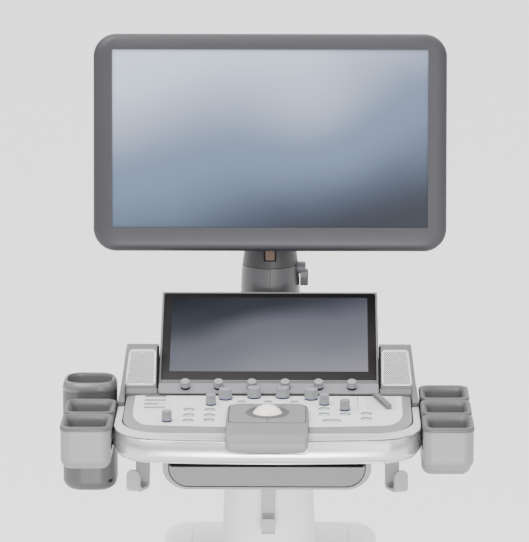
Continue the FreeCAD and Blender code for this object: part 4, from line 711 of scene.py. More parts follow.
# %% Touch glass and picture
TOUCH_W = width_of("touch_glass")
low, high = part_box("touch_glass")
TOUCH_GLASS_T = 2.2
TOUCH_L = ((high.z - low.z) / MM - TOUCH_GLASS_T * math.cos(TOUCH_LEAN)) / math.sin(TOUCH_LEAN)
TOUCH_PICTURE_W = 294.5
TOUCH_PICTURE_H = 165.7
PICTURE_RISE = 0.08
half_t = TOUCH_GLASS_T / 2
border = stacked(
    "touch_glass_sheet",
    [(TOUCH_W, TOUCH_L, 5, -half_t), (TOUCH_W, TOUCH_L, 5, half_t - 0.5),
     (TOUCH_W - 1, TOUCH_L - 1, 4.5, half_t)],
    TOUCH_FACE, turn=5,
)
finish_mesh(border, TOUCH_BORDER, "touch_panel")
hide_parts("touch_glass")
touch_picture = stacked(
    "touch_picture_sheet",
    [(TOUCH_PICTURE_W, TOUCH_PICTURE_H, 0.6, half_t - 0.6, (0, 4.3)),
     (TOUCH_PICTURE_W, TOUCH_PICTURE_H, 0.6, half_t + PICTURE_RISE, (0, 4.3))],
    TOUCH_FACE, turn=2,
)
finish_mesh(touch_picture, TOUCH_PICTURE, "touch_panel")
STRIP_LEAN = math.atan2(10.0, 22.5)
STRIP_FOOT = Vector((0, -0.0645, 0.8014))
STRIP_L = 28.0
STRIP = Matrix.Translation(STRIP_FOOT) @ Matrix.Rotation(STRIP_LEAN, 4, "X")
strip_mid = (0, STRIP_L / 2)
strip_w = TOUCH_W + 6.4
strip = stacked(
    "touch_strip",
    [(strip_w, STRIP_L, (6, 1), -1.6, strip_mid), (strip_w, STRIP_L, (6, 1), 0.0, strip_mid),
     (strip_w - 1.2, STRIP_L - 1.2, (5.4, 0.8), 0.9, strip_mid),
     (strip_w - 3, STRIP_L - 3, (4.5, 0.8), 1.3, strip_mid)],
    STRIP, turn=6,
)
finish_mesh(strip, STRIP_GREY, "touch_panel")
even_shading(strip)
# Painted shadow: a dark band along the strip's top stands for the shade under the glass's overhang.
overhang_shadow = stacked(
    "touch_strip_overhang_shadow",
    [(TOUCH_W + 4, 3.6, 0.8, 0.4, (0, STRIP_L - 2.6)), (TOUCH_W + 4, 3.6, 0.8, 1.5, (0, STRIP_L - 2.6))],
    STRIP, turn=2,
)
finish_mesh(overhang_shadow, SEAM_AND_SHADOW_GREY, "touch_panel")
print("touch glass", round(TOUCH_W), "by", round(TOUCH_L), "mm")

# %% [markdown]
# ## Knobs
# Each knob is a fluted cap that flares at its foot and stands on a clear violet light ring, with a dark ring under
# it that paints the shade in the gap.
# Turning a half profile gives the flare and the soft top edge; the flutes are then pressed in. The soft knobs on
# the touch panel's strip have no light ring, and their painted gap shade stays behind as they press in.

# %% Knobs
RING_GLOW = plastic("violet_light_ring", (0.20, 0.21, 0.36), 0.2, depth=0.0, coat=0.5)
# SHADOW_GAP: a near-black, barely glossy finish that paints the shade in gaps and notches.
SHADOW_GAP = plastic("dark_gap", (0.02, 0.02, 0.022), 0.6, depth=0.02, dust=0.0, gloss=0.05)


def dressed_knob(name, node, place, radius, height, body, ring_finish, seat=None):
    """Fluted cap, light ring and painted gap shade of one knob; the painted shade stays on the seat, where one is
    given.
    """
    cap = turned(
        name + "_cap",
        [(0, 3), (radius - 0.9, 3), (radius, 3.4), (radius, 4.2), (radius * 0.975, 5.6), (radius * 0.955, 8),
         (radius * 0.935, height - 1.8), (radius * 0.915, height - 0.7), (radius * 0.87, height - 0.15),
         (radius * 0.80, height), (0, height)],
        place, steps=36, flutes=(4.2, height - 1.2, 0.8),
    )
    finish_mesh(cap, FINISH["knob_plastic"], body)
    if ring_finish:
        glow = turned(
            name + "_light_ring",
            [(radius * 0.6, 1.7), (radius - 0.6, 1.7), (radius - 0.2, 2.0), (radius - 0.2, 2.8),
             (radius - 0.6, 3.1), (radius * 0.6, 3.1)],
            place, steps=32,
        )
        finish_mesh(glow, ring_finish, body)
    # Painted shade: a dark ring fills the gap under the knob.
    gap = turned(
        name + "_gap", [(radius * 0.6, 0.15), (radius - 0.1, 0.15), (radius - 0.1, 1.6), (radius * 0.6, 1.7)],
        place, steps=24,
    )
    finish_mesh(gap, SHADOW_GAP, seat or body)
    if node:
        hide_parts(node)
    return cap


KNOB_H = 16.0
KNOB_FLARE = 0.5
for node in ("gain_knob", "depth_knob", "zoom_knob", "focus_knob", "mode_knob", "angle_knob", "baseline_knob",
             "steer_knob"):
    place = deck_place(JOINT[node + "_turn"]["pos_m"])
    dressed_knob(node, node, place, width_of(node) / 2 + KNOB_FLARE, KNOB_H, OWNER[node], RING_GLOW)

soft = islands("soft_knobs")
SOFT_R = soft[0][1].x / MM / 2 + 0.6
SOFT_TIP = 8.0
SOFT_SHIFT = -1.0
STRIP_TOP = 1.4
for i, (centre, extent) in enumerate(soft):
    rise = (STRIP.inverted() @ centre).z / MM - STRIP_TOP
    place = (Matrix.Translation(centre) @ Matrix.Rotation(STRIP_LEAN, 4, "X")
             @ Matrix.Translation((0, SOFT_SHIFT * MM, -rise * MM)))
    cap = dressed_knob("soft_knob_%d" % i, None, place, SOFT_R, SOFT_TIP + rise, "soft_knobs", None,
                       seat="touch_panel")
    if i == 0:
        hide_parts("soft_knobs")
print("knobs:", 8 + len(soft))

# %% [markdown]
# ## Keys
# The keys are nearly flush and dished like a shallow cup, so that a finger finds them without looking. From
# the front each shows a dark crescent, the back wall of its dish painted darker as shade, over a paler floor.
# Bars are dished the same way.

# %% Keys
DISH_WALL_SHADE = plastic("dish_wall_painted_shade", (0.20, 0.225, 0.24), 0.4)
DISH_FLOOR = plastic("dish_floor", (0.47, 0.49, 0.51), 0.35)
KEY_OUTLINE = plastic("key_outline", (0.15, 0.155, 0.16), 0.45)
BAR_FLOOR = plastic("bar_floor", (0.24, 0.24, 0.25), 0.4)
KEY_TOP = 0.7
PRINT_RISE = 0.02
DISH_DEPTH = 2.0
DISH_SHIFT = (0, -0.7)
KEY_GROWTH = 1.0
BAR_CORNER = 3.4


def dished_key(name, place, wide, deep, radius, floor_finish, body):
    """Low rim with a dish in it, whose wall is painted darker as shade and whose floor has its own tone; returns
    the rim.
    """
    rim = stacked(
        name + "_rim",
        [(wide, deep, radius, -0.4), (wide, deep, radius, KEY_TOP - 0.4),
         (wide - 0.6, deep - 0.6, radius - 0.3, KEY_TOP), (wide - 1.3, deep - 1.3, radius - 0.65, KEY_TOP),
         (wide - 1.6, deep - 1.6, radius - 0.8, KEY_TOP - 0.3)],
        place, foot=False, head=False,
    )
    finish_mesh(rim, FINISH["key_plastic"], body)
    outline = stacked(
        name + "_outline",
        [(wide - inset, deep - inset, radius - inset / 2, KEY_TOP + PRINT_RISE) for inset in (0.9, 2.1)],
        place, foot=False, head=False,
    )
    finish_mesh(outline, KEY_OUTLINE, body)
    # Painted shade: the dish's wall takes a darker copy of the key's plastic.
    wall = stacked(
        name + "_wall",
        [(wide - 1.4, deep - 1.4, radius - 0.7, KEY_TOP - 0.05),
         (wide - 3.4, deep - 4.0, radius - 2.0, KEY_TOP - DISH_DEPTH, DISH_SHIFT)],
        place, foot=False, head=False,
    )
    finish_mesh(wall, DISH_WALL_SHADE, body)
    floor_disc = stacked(
        name + "_floor",
        [(wide - 3.4, deep - 4.0, radius - 2.0, KEY_TOP - DISH_DEPTH - 0.2, DISH_SHIFT),
         (wide - 3.2, deep - 3.8, radius - 1.9, KEY_TOP - DISH_DEPTH + 0.1, DISH_SHIFT)],
        place,
    )
    finish_mesh(floor_disc, floor_finish, body)
    return rim


for node, floor_finish in (("round_keys", DISH_FLOOR), ("bar_keys", BAR_FLOOR)):
    for i, (centre, extent) in enumerate(islands(node)):
        wide = extent.x / MM + KEY_GROWTH
        deep = extent.y / MM + KEY_GROWTH
        corner = BAR_CORNER if node == "bar_keys" else min(wide, deep) / 2 - 0.01
        rim = dished_key("%s_%d" % (node[:-1], i), deck_place(centre), wide, deep, corner, floor_finish, node)
        if i == 0:
            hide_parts(node)
print("keys made")

# %% [markdown]
# ## Lines on the key plate
# A thin line frames the bar keys, and the slider field has a dark edge line and a row of fine lines. They are
# shallow printed strips, so each is a very thin bar that stands just clear of the plate. A narrow lip carries
# the plate back to the touch panel.

# %% Plate lines
LINE_INK = plastic("plate_line", (0.36, 0.36, 0.37), 0.5, depth=0.0)
DARK_INK = plastic("plate_dark_line", (0.12, 0.12, 0.125), 0.5, depth=0.0)
LINE_H = 0.12


def plate_line(name, x, y, length, thick, ink, upright=False):
    """Printed line on the key plate, along it or, when upright, from front to back."""
    wide, deep = (thick, length) if upright else (length, thick)
    line = stacked(name, [(wide, deep, thick / 2.1, -0.1), (wide, deep, thick / 2.1, LINE_H)],
                   DECK @ Matrix.Translation((x * MM, y * MM, 0)), turn=2)
    return finish_mesh(line, ink, "console")


PLATE_BACK = on_deck((0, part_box("key_plate")[1].y, 0))[1]
LIP_DEEP = 10.0
LIP_LEFT = -TOUCH_W / 2 - 2
LIP_RIGHT = 126.0
lip_mid = ((LIP_LEFT + LIP_RIGHT) / 2, PLATE_BACK - 1 + LIP_DEEP / 2)
lip = stacked(
    "key_plate_lip",
    [(LIP_RIGHT - LIP_LEFT, LIP_DEEP, 0.5, level, lip_mid) for level in (-2.0, PRINT_RISE)], DECK, turn=2,
)
finish_mesh(lip, FINISH["plate_plastic"], "console")
bars = islands("bar_keys")
bar_x, _ = on_deck(bars[0][0])
bar_ys = sorted(on_deck(centre)[1] for centre, _ in bars)
bar_mid = (bar_ys[0] + bar_ys[-1]) / 2
bar_span = bar_ys[-1] - bar_ys[0]
BAR_FIELD_W = 44.0
BAR_FIELD_L = bar_span + 26.0
FINE = 0.5
for side in (-1, 1):
    edge_x = bar_x + side * BAR_FIELD_W / 2
    end_y = bar_mid + side * BAR_FIELD_L / 2
    plate_line("bar_field_side_%d" % (side + 1), edge_x, bar_mid, BAR_FIELD_L, FINE, LINE_INK, upright=True)
    plate_line("bar_field_end_%d" % (side + 1), bar_x, end_y, BAR_FIELD_W, FINE, LINE_INK)
fins = [on_deck(centre) for centre, _ in islands("gain_sliders")]
field_back = max(y for _, y in fins)
field_front = min(y for _, y in fins)
FIELD_LEFT = 131.0
FIELD_RIGHT = 189.0
FIELD_MARGIN = 8
plate_line("slider_field_edge", FIELD_LEFT, (field_back + field_front) / 2,
           field_back - field_front + 2 * FIELD_MARGIN, 0.9, DARK_INK, upright=True)
line_x = (FIELD_LEFT + FIELD_MARGIN + FIELD_RIGHT) / 2
for i, (_, y) in enumerate(fins):
    plate_line("slider_line_%d" % i, line_x, y, FIELD_RIGHT - FIELD_LEFT - FIELD_MARGIN, FINE, LINE_INK)
print("plate lines made")

# %% [markdown]
# ## Lock lever
# A round hub beside the neck carries a flat thumb paddle that hangs a little further out. Both are outlines
# stacked along the pivot, so that their rims are rounded.

# %% Lock lever
HUB_R = 9.4
HUB_FROM = 45.2
HUB_TO = 54.2
PADDLE_W = 17.0
PADDLE_L = 24.0
PADDLE_FROM = 45.6
PADDLE_TO = 58.0
HUB_RISE = 3.8
PADDLE_DROP = 14.8
LEVER_GREY = plastic("lever_grey", (0.125, 0.128, 0.135), 0.38)
pivot = Vector(JOINT["lever_turn"]["pos_m"])
SIDEWAYS = Matrix.Translation((0, pivot.y, pivot.z + HUB_RISE * MM)) @ Matrix.Rotation(math.pi / 2, 4, "Y")
HUB_PROFILE = [(2, HUB_FROM - 6), (0, HUB_FROM), (0, HUB_TO - 2.2), (1.2, HUB_TO - 0.8), (4, HUB_TO)]
hub = stacked(
    "lock_lever_hub",
    [(2 * HUB_R - inset, 2 * HUB_R - inset, HUB_R - inset / 2 - 0.01, level) for inset, level in HUB_PROFILE],
    SIDEWAYS, turn=8,
)
finish_mesh(hub, LEVER_GREY, OWNER["lock_lever"])
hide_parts("lock_lever")
paddle = stacked(
    "lock_lever_paddle",
    [(PADDLE_L - 1.6, PADDLE_W - 1.6, 3, PADDLE_FROM), (PADDLE_L, PADDLE_W, 3.6, PADDLE_FROM + 1),
     (PADDLE_L, PADDLE_W, 3.6, PADDLE_TO - 1.4), (PADDLE_L - 2.4, PADDLE_W - 2.4, 2.6, PADDLE_TO)],
    SIDEWAYS @ Matrix.Translation((PADDLE_DROP * MM, 0, 0)), turn=5,
)
finish_mesh(paddle, LEVER_GREY, OWNER["lock_lever"])
even_shading(paddle)
print("lever from", HUB_FROM, "to", PADDLE_TO, "mm beside the neck")

# %% [markdown]
# ## Head slot
# The tilting bracket comes out of a slot in the swivelling head; the slot's shaded inside is painted as a dark
# block.

# %% Head slot
head_low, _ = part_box("swivel_head")
SLOT_W = 18.5
TONGUE_W = 14.0
TONGUE_PAINT = plastic("tongue_paint", (0.12, 0.072, 0.055), 0.5, gloss=0.2)
SLOT_TALL = 24.0
SLOT_Z = 0.9695
SLOT_PROUD = 1.4
TONGUE_RISE = 1.0
head_front = head_low.y - SLOT_PROUD * MM
# Painted shade: the slot's inside is a near-black block.
slot_shade = stacked(
    "head_slot", [(SLOT_W, SLOT_TALL, 1.2, -8.0), (SLOT_W, SLOT_TALL, 1.2, 0.0)],
    Matrix.Translation((0, head_front, SLOT_Z)) @ UPRIGHT, turn=3,
)
finish_mesh(slot_shade, PAINTED_GAP_SHADE, OWNER["swivel_head"])
tongue = stacked(
    "head_slot_tongue", [(TONGUE_W, SLOT_TALL - 1.6, 0.8, -6.0), (TONGUE_W, SLOT_TALL - 1.6, 0.8, 0.6)],
    Matrix.Translation((0, head_front, SLOT_Z + TONGUE_RISE * MM)) @ UPRIGHT, turn=3,
)
finish_mesh(tongue, TONGUE_PAINT, OWNER["swivel_head"])
print("slot in the head at", round(SLOT_Z / MM), "mm")

# %% [markdown]
# ## Cup liners
# Each probe cup has a soft rubber liner that rolls over its mouth. The liner is skinned over outlines which
# run up its outside, round the lip and down into the cup, where they follow the well's taper.

# %% Cup liners
LINER_PROFILE = [(-2.0, -6.4), (0.2, -6.2), (0.8, -5.2), (0.9, -3.6), (0.2, -1.8), (-1.6, -0.5), (-4.0, 0.0),
                 (-7.8, 0.0), (-10.6, -0.8), (-13.4, -2.4), (-16.0, -4.0), (-18.4, -6.0), (-19.8, -9.0),
                 (-21.0, -14.0), (-24.6, -29.0)]
LINER_CORNER = 15.5
for i, (centre, extent) in enumerate(islands("cup_liners")):
    mouth = Matrix.Translation((centre.x, centre.y, centre.z + extent.z / 2))
    across = extent.x / MM
    along = extent.y / MM
    liner = stacked(
        "cup_liner_%d" % i,
        [(across + grow, along + grow, LINER_CORNER + grow / 5, level) for grow, level in LINER_PROFILE],
        mouth, turn=8, foot=False, head=False,
    )
    finish_mesh(liner, LINER_GREY, OWNER["cup_liners"])
    if i == 0:
        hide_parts("cup_liners")
print("cup liners:", i + 1)

# %% [markdown]
# ## Gel warmer
# The warmer is a deep moulded cup in two halves, with a glossy rounded collar. The collar is skinned over
# outlines that run up its outside, over its lip and down its well.

# %% Gel warmer
low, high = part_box("warmer_collar")
wide = (high.x - low.x) / MM
deep = (high.y - low.y) / MM
WARMER = Matrix.Translation(((low.x + high.x) / 2, (low.y + high.y) / 2, low.z))
COLLAR_PROFILE = [(0, 5.2), (1.0, 7.0), (1.2, 10.0), (-0.6, 13.6), (-3.4, 16.6), (-6.6, 18.9), (-9.8, 19.9),
                  (-12.6, 19.6), (-14.4, 18.0), (-15.4, 14.0), (-16.0, 6.0), (-16.2, -2.0)]
CORNER = 30.0
collar = stacked(
    "warmer_collar_ring",
    [(wide + grow, deep + grow, CORNER + grow / 2, level) for grow, level in COLLAR_PROFILE],
    WARMER, turn=10, foot=False, head=False,
)
finish_mesh(collar, COLLAR_GREY, OWNER["warmer_collar"])
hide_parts("warmer_collar")
neck_band = stacked(
    "warmer_upper_band",
    [(wide, deep, CORNER, -1.0), (wide, deep, CORNER, 4.9), (wide - 4, deep - 4, CORNER - 2, 5.2)],
    WARMER, turn=10, foot=False, head=False,
)
finish_mesh(neck_band, WARMER_GREY, OWNER["gel_warmer"])
body_low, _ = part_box("gel_warmer")
seam_l = (low.z - body_low.z) / MM - 8
seam = stacked(
    "warmer_seam", [(0.7, seam_l, 0.3, -0.3), (0.7, seam_l, 0.3, 0.12)],
    Matrix.Translation(((low.x + high.x) / 2, body_low.y, body_low.z + (seam_l / 2 + 10) * MM)) @ UPRIGHT,
    turn=2,
)
finish_mesh(seam, SEAM_AND_SHADOW_GREY, OWNER["gel_warmer"])
NOTCH_TURN = 44.0
# Painted shade: a dark patch stands for the shaded inside of a notch in the warmer's side.
notch = stacked(
    "warmer_notch", [(8, 5, 2.2, -2.0), (8, 5, 2.2, 0.15)],
    Matrix.Translation((high.x - CORNER * MM, low.y + CORNER * MM, body_low.z + 16 * MM))
    @ Matrix.Rotation(math.radians(NOTCH_TURN), 4, "Z") @ Matrix.Translation((0, -CORNER * MM, 0)) @ UPRIGHT,
    turn=4,
)
finish_mesh(notch, SHADOW_GAP, OWNER["gel_warmer"])
print("warmer collar", round(wide), "by", round(deep), "mm")

# %% [markdown]
# ## Speaker grilles
# A perforated plate: rows of small holes set on the diagonal. A grid of cells is inset one by one and each
# small inner face is sunk, which leaves webs between real pits; the pits are painted near-black for the shade
# in the holes. The pod's face under each grille leans outwards on its outer side and flares at its foot, so the
# plates on it are bent with the same rule.

# %% Speaker grilles
GRILLE_LEAN = math.atan2(62.3, 49.0)
CELL_W = 1.58
CELL_L = 1.95
WEB = 0.16
PIT = 1.2
HOLE_MARGIN = 1.6
FACE_INNER = 24.6
FACE_OUTER = 26.6
FACE_LOW = 33.0
FACE_HIGH = 35.5
FACE_SLANT = 0.10
FLARE_FROM = -20.0
FLARE = 0.004
PAINTED_PIT_SHADE = plastic("grille_pit_painted_shade", (0.015, 0.013, 0.012), 0.7, depth=0.02, dust=0.0, gloss=0.05)


def slant(obj, sign, place):
    """Leans the outer side of a piece on the pod outwards and flares its foot."""
    back = place.inverted()
    for v in obj.data.vertices:
        spot = back @ v.co
        if spot.x * sign > 0:
            drop = FACE_HIGH - spot.y / MM
            foot = max(0.0, FLARE_FROM - spot.y / MM)
            spot.x += sign * (FACE_SLANT * drop - FACE_SLANT * FACE_HIGH + FLARE * foot ** 2) * MM
        v.co = place @ spot


for centre, extent in islands("speaker_grilles"):
    side = "left" if centre.x < 0 else "right"
    sign = -1 if centre.x < 0 else 1
    wide = extent.x / MM + 1.6
    length = math.hypot(extent.y, extent.z) / MM
    place = Matrix.Translation(centre) @ Matrix.Rotation(GRILLE_LEAN, 4, "X")
    face_w = FACE_INNER + FACE_OUTER
    face_l = FACE_LOW + FACE_HIGH
    face_mid = (sign * (FACE_OUTER - FACE_INNER) / 2, (FACE_HIGH - FACE_LOW) / 2)
    face = stacked(
        "pod_face_" + side,
        [(face_w, face_l, (1.5, 3), -3.0, face_mid), (face_w, face_l, (1.5, 3), -1.4, face_mid),
         (face_w - 0.8, face_l - 0.8, (1.2, 2.6), -0.7, face_mid),
         (face_w - 2.4, face_l - 2.4, (1, 2), -0.4, face_mid)],
        place,
    )
    bm = bmesh.new()
    bm.from_mesh(face.data)
    for step in range(5):
        cut = place @ Vector((0, (FLARE_FROM - 2.6 * step) * MM, 0))
        bmesh.ops.bisect_plane(bm, geom=bm.verts[:] + bm.edges[:] + bm.faces[:], plane_co=cut,
                               plane_no=place.to_3x3() @ Vector((0, 1, 0)), dist=MERGE)
    bm.to_mesh(face.data)
    bm.free()
    slant(face, sign, place)
    finish_mesh(face, POD_FACE, "console")
    even_shading(face)
    # Painted shade: a black strip on the pod's inner side stands for the shaded gap beside the touch panel.
    gap_shade = stacked(
        "pod_gasket_" + side, [(3.4, face_l, 0.6, -2.5), (3.4, face_l, 0.6, -0.2)],
        place @ Matrix.Translation((-sign * (FACE_INNER - 0.6) * MM, face_mid[1] * MM, 0)), turn=2,
    )
    finish_mesh(gap_shade, PAINTED_GAP_SHADE, "console")
    frame_plate = stacked(
        "grille_frame_" + side,
        [(wide, length, 6, -0.9), (wide, length, 6, 0.5), (wide - 0.8, length - 0.8, 5.6, 0.9),
         (wide - 3.4, length - 3.4, 4.3, 0.9), (wide - 3.6, length - 3.6, 4.2, 0.55),
         (wide - 3.7, length - 3.7, 4.2, -0.6)],
        place, foot=False, head=False,
    )
    slant(frame_plate, sign, place)
    finish_mesh(frame_plate, FINISH["grille_plastic"], "console")
    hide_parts("speaker_grilles")
    seam = stacked(
        "grille_seam_" + side,
        [(wide + 0.9, length + 0.9, 6.4, -0.8), (wide + 0.9, length + 0.9, 6.4, -0.2)], place,
    )
    slant(seam, sign, place)
    finish_mesh(seam, SEAM_AND_SHADOW_GREY, "console")
    columns = round((wide - 3.6) / CELL_W)
    rows = round((length - 3.6) / CELL_L)
    bm = bmesh.new()
    bmesh.ops.create_grid(bm, x_segments=columns, y_segments=rows, size=0.5)
    for v in bm.verts:
        v.co.x *= columns * CELL_W * MM
        v.co.y *= rows * CELL_L * MM
        v.co.z = 0.7 * MM
    reach_x = (columns * CELL_W / 2 - HOLE_MARGIN) * MM
    reach_y = (rows * CELL_L / 2 - HOLE_MARGIN) * MM
    cells = []
    for cell in bm.faces:
        spot = cell.calc_center_median()
        column = round(spot.x / (CELL_W * MM) + columns / 2 - 0.5)
        row = round(spot.y / (CELL_L * MM) + rows / 2 - 0.5)
        if (column + row) % 2 == 0 and abs(spot.x) < reach_x and abs(spot.y) < reach_y:
            cells.append(cell)
    bmesh.ops.inset_individual(bm, faces=cells, thickness=WEB * MM / 2, depth=0)
    walls = bmesh.ops.inset_individual(bm, faces=cells, thickness=0.05 * MM, depth=-PIT * MM)["faces"]
    # Painted shade: the pits' floors and walls take the near-black finish.
    for face in cells + walls:
        face.material_index = 1
    bmesh.ops.transform(bm, matrix=place, verts=bm.verts)
    sheet = to_object(bm, "grille_sheet_" + side)
    slant(sheet, sign, place)
    sheet.data.materials.append(FINISH["grille_plastic"])
    sheet.data.materials.append(PAINTED_PIT_SHADE)
    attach(sheet, "console")
    print("grille", side, "has", len(cells), "holes")

# %% [markdown]
# ## Trackball
# An ivory ball, polished, in a dark ring. Both are turned parts; the ball is a cube sphere made by rounding
# a subdivided cube, so that no pole shows when it rolls.

# %% Trackball and ring
BALL_CENTRE = Vector(JOINT["trackball_spin"]["pos_m"])
BALL_R = width_of("trackball") / 2
bm = bmesh.new()
bmesh.ops.create_cube(bm, size=1.0)
bmesh.ops.subdivide_edges(bm, edges=bm.edges, cuts=15, use_grid_fill=True)
for v in bm.verts:
    v.co = v.co.normalized() * BALL_R * MM + BALL_CENTRE
ball = to_object(bm, "trackball_ball")
finish_mesh(ball, FINISH["ball_plastic"], "trackball")
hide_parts("trackball")
RING_R = width_of("trackball_ring") / 2 + 1.0
RING_TOP = 11.5
OPENING_R = BALL_R - 2.2
ring = turned(
    "trackball_ring_skin",
    [(OPENING_R, 7), (RING_R, 7), (RING_R, RING_TOP - 1.6), (RING_R - 0.8, RING_TOP - 0.9),
     (RING_R - 2.2, RING_TOP - 0.4), (OPENING_R + 1.6, RING_TOP), (OPENING_R + 0.4, RING_TOP - 0.3),
     (OPENING_R, RING_TOP - 1.2), (OPENING_R, 7)],
    deck_place(BALL_CENTRE), steps=64,
)
finish_mesh(ring, RING_GREY, "console")
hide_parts("trackball_ring")
print("ball radius", round(BALL_R, 1))

# %% [markdown]
# ## Palm rest and click keys
# A soft-cornered block stands over the front of the deck and laps down over the rail, so that the hand can
# rest while the fingers roll the ball. Level outlines stacked from its foot to its top give its roundings.
# The click keys are one low panel; thin near-black strips round it and between its keys paint the shade in their
# gaps.

# %% Palm rest and click keys
low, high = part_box("palm_rest")
BLOCK_BACK = on_deck((0, high.y, high.z))[1]
PALM_W = width_of("palm_rest")
NOSE = on_deck((0, low.y, low.z))[1]
BLOCK_TOP = 9.0


def block_ring(level, front, width, radius, back=0.0):
    """Outline of the palm rest: its front edge and width at a level, and how far its back is drawn in."""
    deep = (BLOCK_BACK - back) - front
    return (width, deep, radius, level, (0, front + deep / 2))


block = stacked(
    "palm_rest_block",
    [block_ring(-17.6, NOSE + 7.5, PALM_W - 24, (8, 12)), block_ring(-17.0, NOSE + 4.6, PALM_W - 16, (8, 14)),
     block_ring(-15.2, NOSE + 2.4, PALM_W - 8.5, (8, 16)),
     block_ring(-12.2, NOSE + 0.8, PALM_W - 3.2, (8, 18)),
     block_ring(-8.0, NOSE + 0.2, PALM_W - 0.4, (8, 19)), block_ring(-2.0, NOSE, PALM_W + 0.4, (8, 19)),
     block_ring(3.0, NOSE + 1.4, PALM_W, (8, 19)), block_ring(5.8, NOSE + 3.8, PALM_W - 0.6, (8, 19)),
     block_ring(7.4, NOSE + 6.4, PALM_W - 1.6, (8, 18.4), 0.2),
     block_ring(8.4, NOSE + 9.4, PALM_W - 3.2, (8, 17.6), 1.0),
     block_ring(8.9, NOSE + 12.6, PALM_W - 5.0, (7, 16.8), 2.0),
     block_ring(BLOCK_TOP, NOSE + 16, PALM_W - 6.6, (6, 16), 3.0)],
    DECK, turn=8,
)
finish_mesh(block, PALM_GREY, "console")
even_shading(block)
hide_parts("palm_rest")

PANEL_W = 110.0
PANEL_FRONT = -165.0
PANEL_BACK = BLOCK_BACK - 4.0
PANEL_RISE = 0.7
GAP_W = 1.0
panel_l = PANEL_BACK - PANEL_FRONT
panel_mid = (0, (PANEL_BACK + PANEL_FRONT) / 2)
# Painted shade: a dark sheet under the panel shows as the shaded gap round it.
gap_sheet = stacked(
    "click_key_gap",
    [(PANEL_W + 2 * GAP_W, panel_l + 2 * GAP_W, (8.6, 16.6), BLOCK_TOP - 1, panel_mid),
     (PANEL_W + 2 * GAP_W, panel_l + 2 * GAP_W, (8.6, 16.6), BLOCK_TOP + 0.12, panel_mid)],
    DECK, turn=8,
)
finish_mesh(gap_sheet, SHADOW_GAP, "console")
panel = stacked(
    "click_key_panel",
    [(PANEL_W, panel_l, (8, 16), BLOCK_TOP - 0.2, panel_mid),
     (PANEL_W, panel_l, (8, 16), BLOCK_TOP + PANEL_RISE - 0.5, panel_mid),
     (PANEL_W - 0.5, panel_l - 0.5, (7.7, 15.7), BLOCK_TOP + PANEL_RISE - 0.1, panel_mid),
     (PANEL_W - 2, panel_l - 2, (7, 15), BLOCK_TOP + PANEL_RISE, panel_mid)],
    DECK, turn=8,
)
finish_mesh(panel, PALM_GREY, "trackball_keys")
even_shading(panel)
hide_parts("trackball_keys")
SPLITS = {"front": (0, PANEL_FRONT, 0, 11), "left": (-27, PANEL_BACK - 4, 38, -8),
          "right": (27, PANEL_BACK - 4, -38, -8)}
for label, (x, y, lean, along) in SPLITS.items():
    # Painted shade in the gaps between the click keys.
    split = stacked(
        "click_key_split_" + label,
        [(GAP_W, 24, GAP_W / 2.1, -0.3), (GAP_W, 24, GAP_W / 2.1, 0.06)],
        DECK @ Matrix.Translation((x * MM, y * MM, (BLOCK_TOP + PANEL_RISE) * MM))
        @ Matrix.Rotation(math.radians(lean), 4, "Z") @ Matrix.Translation((0, along * MM, 0)), turn=2,
    )
    finish_mesh(split, SHADOW_GAP, "trackball_keys")
print("palm rest", round(PALM_W), "mm wide, click keys", round(panel_l), "mm long")

# %% [markdown]
# ## Front rail
# The rail is a silver-lacquered moulding with a convex face. The CAD rail is sliced at several levels and
# each slice of its outer wall is drawn in along an arc, so that the face rolls from top to bottom. Its up-facing
# faces take a less metallic silver that reads brighter, a painted highlight. A dark parting line runs just
# under its top, and a plain piece of the same section closes it behind the palm rest.

# %% Front rail
RAIL_SLICES = 9
RAIL_BELLY = 4.6
LINE_DROP = 1.2
LINE_TALL = 1.3
RAIL_MIDDLE_Y = -0.12
FILL_LEVELS = range(765, 781, 3)
low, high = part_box("console_rail")
bm = merged("console_rail")
levels = [low.z + (high.z - low.z) * i / RAIL_SLICES for i in range(1, RAIL_SLICES)]
levels += [high.z - drop * MM for drop in (LINE_DROP, LINE_DROP + LINE_TALL)]
for level in levels:
    bmesh.ops.bisect_plane(bm, geom=bm.verts[:] + bm.edges[:] + bm.faces[:], plane_co=(0, 0, level),
                           plane_no=UP, dist=MERGE)
half_h = (high.z - low.z) / 2
mid_z = (high.z + low.z) / 2 - 0.1 * half_h
draw_in = {}
for v in bm.verts:
    outward = Vector((v.co.x, v.co.y - RAIL_MIDDLE_Y, 0)).normalized()
    walls = [f.normal for f in v.link_faces if f.normal.dot(outward) > 0.35 and abs(f.normal.z) < 0.8]
    if walls:
        lead = sum(walls, Vector())
        lead.z = 0
        draw_in[v] = -lead.normalized() * RAIL_BELLY * MM * ((v.co.z - mid_z) / half_h) ** 2
for v, shift in draw_in.items():
    v.co += shift
rail = to_object(bm, "console_rail_skin")
finish_mesh(rail, FINISH["silver_plastic"], "console")
RAIL_TOP_HIGHLIGHT_SILVER = plastic("rail_top_painted_highlight", (0.62, 0.62, 0.64), 0.34, metallic=0.2, dust=0.0)
RAIL_LINE = plastic("rail_line", (0.16, 0.16, 0.17), 0.5, depth=0.02)
rail.data.materials.append(RAIL_TOP_HIGHLIGHT_SILVER)
rail.data.materials.append(RAIL_LINE)
for face in rail.data.polygons:
    # Painted highlight: up-facing faces take the brighter, less metallic silver.
    if face.normal.z > 0.8:
        face.material_index = 1
    elif high.z - (LINE_DROP + LINE_TALL) * MM < face.center.z < high.z - LINE_DROP * MM:
        face.material_index = 2
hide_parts("console_rail")
FILL_W = PALM_W + 1.6
FILL_D = 30.0


def fill_ring(level):
    """Outline behind the palm rest, with its front on the rail's face at this height."""
    drawn = RAIL_BELLY * ((level * MM - mid_z) / half_h) ** 2
    return (FILL_W, FILL_D, 1, level, (0, low.y / MM + 1.4 + drawn + FILL_D / 2))


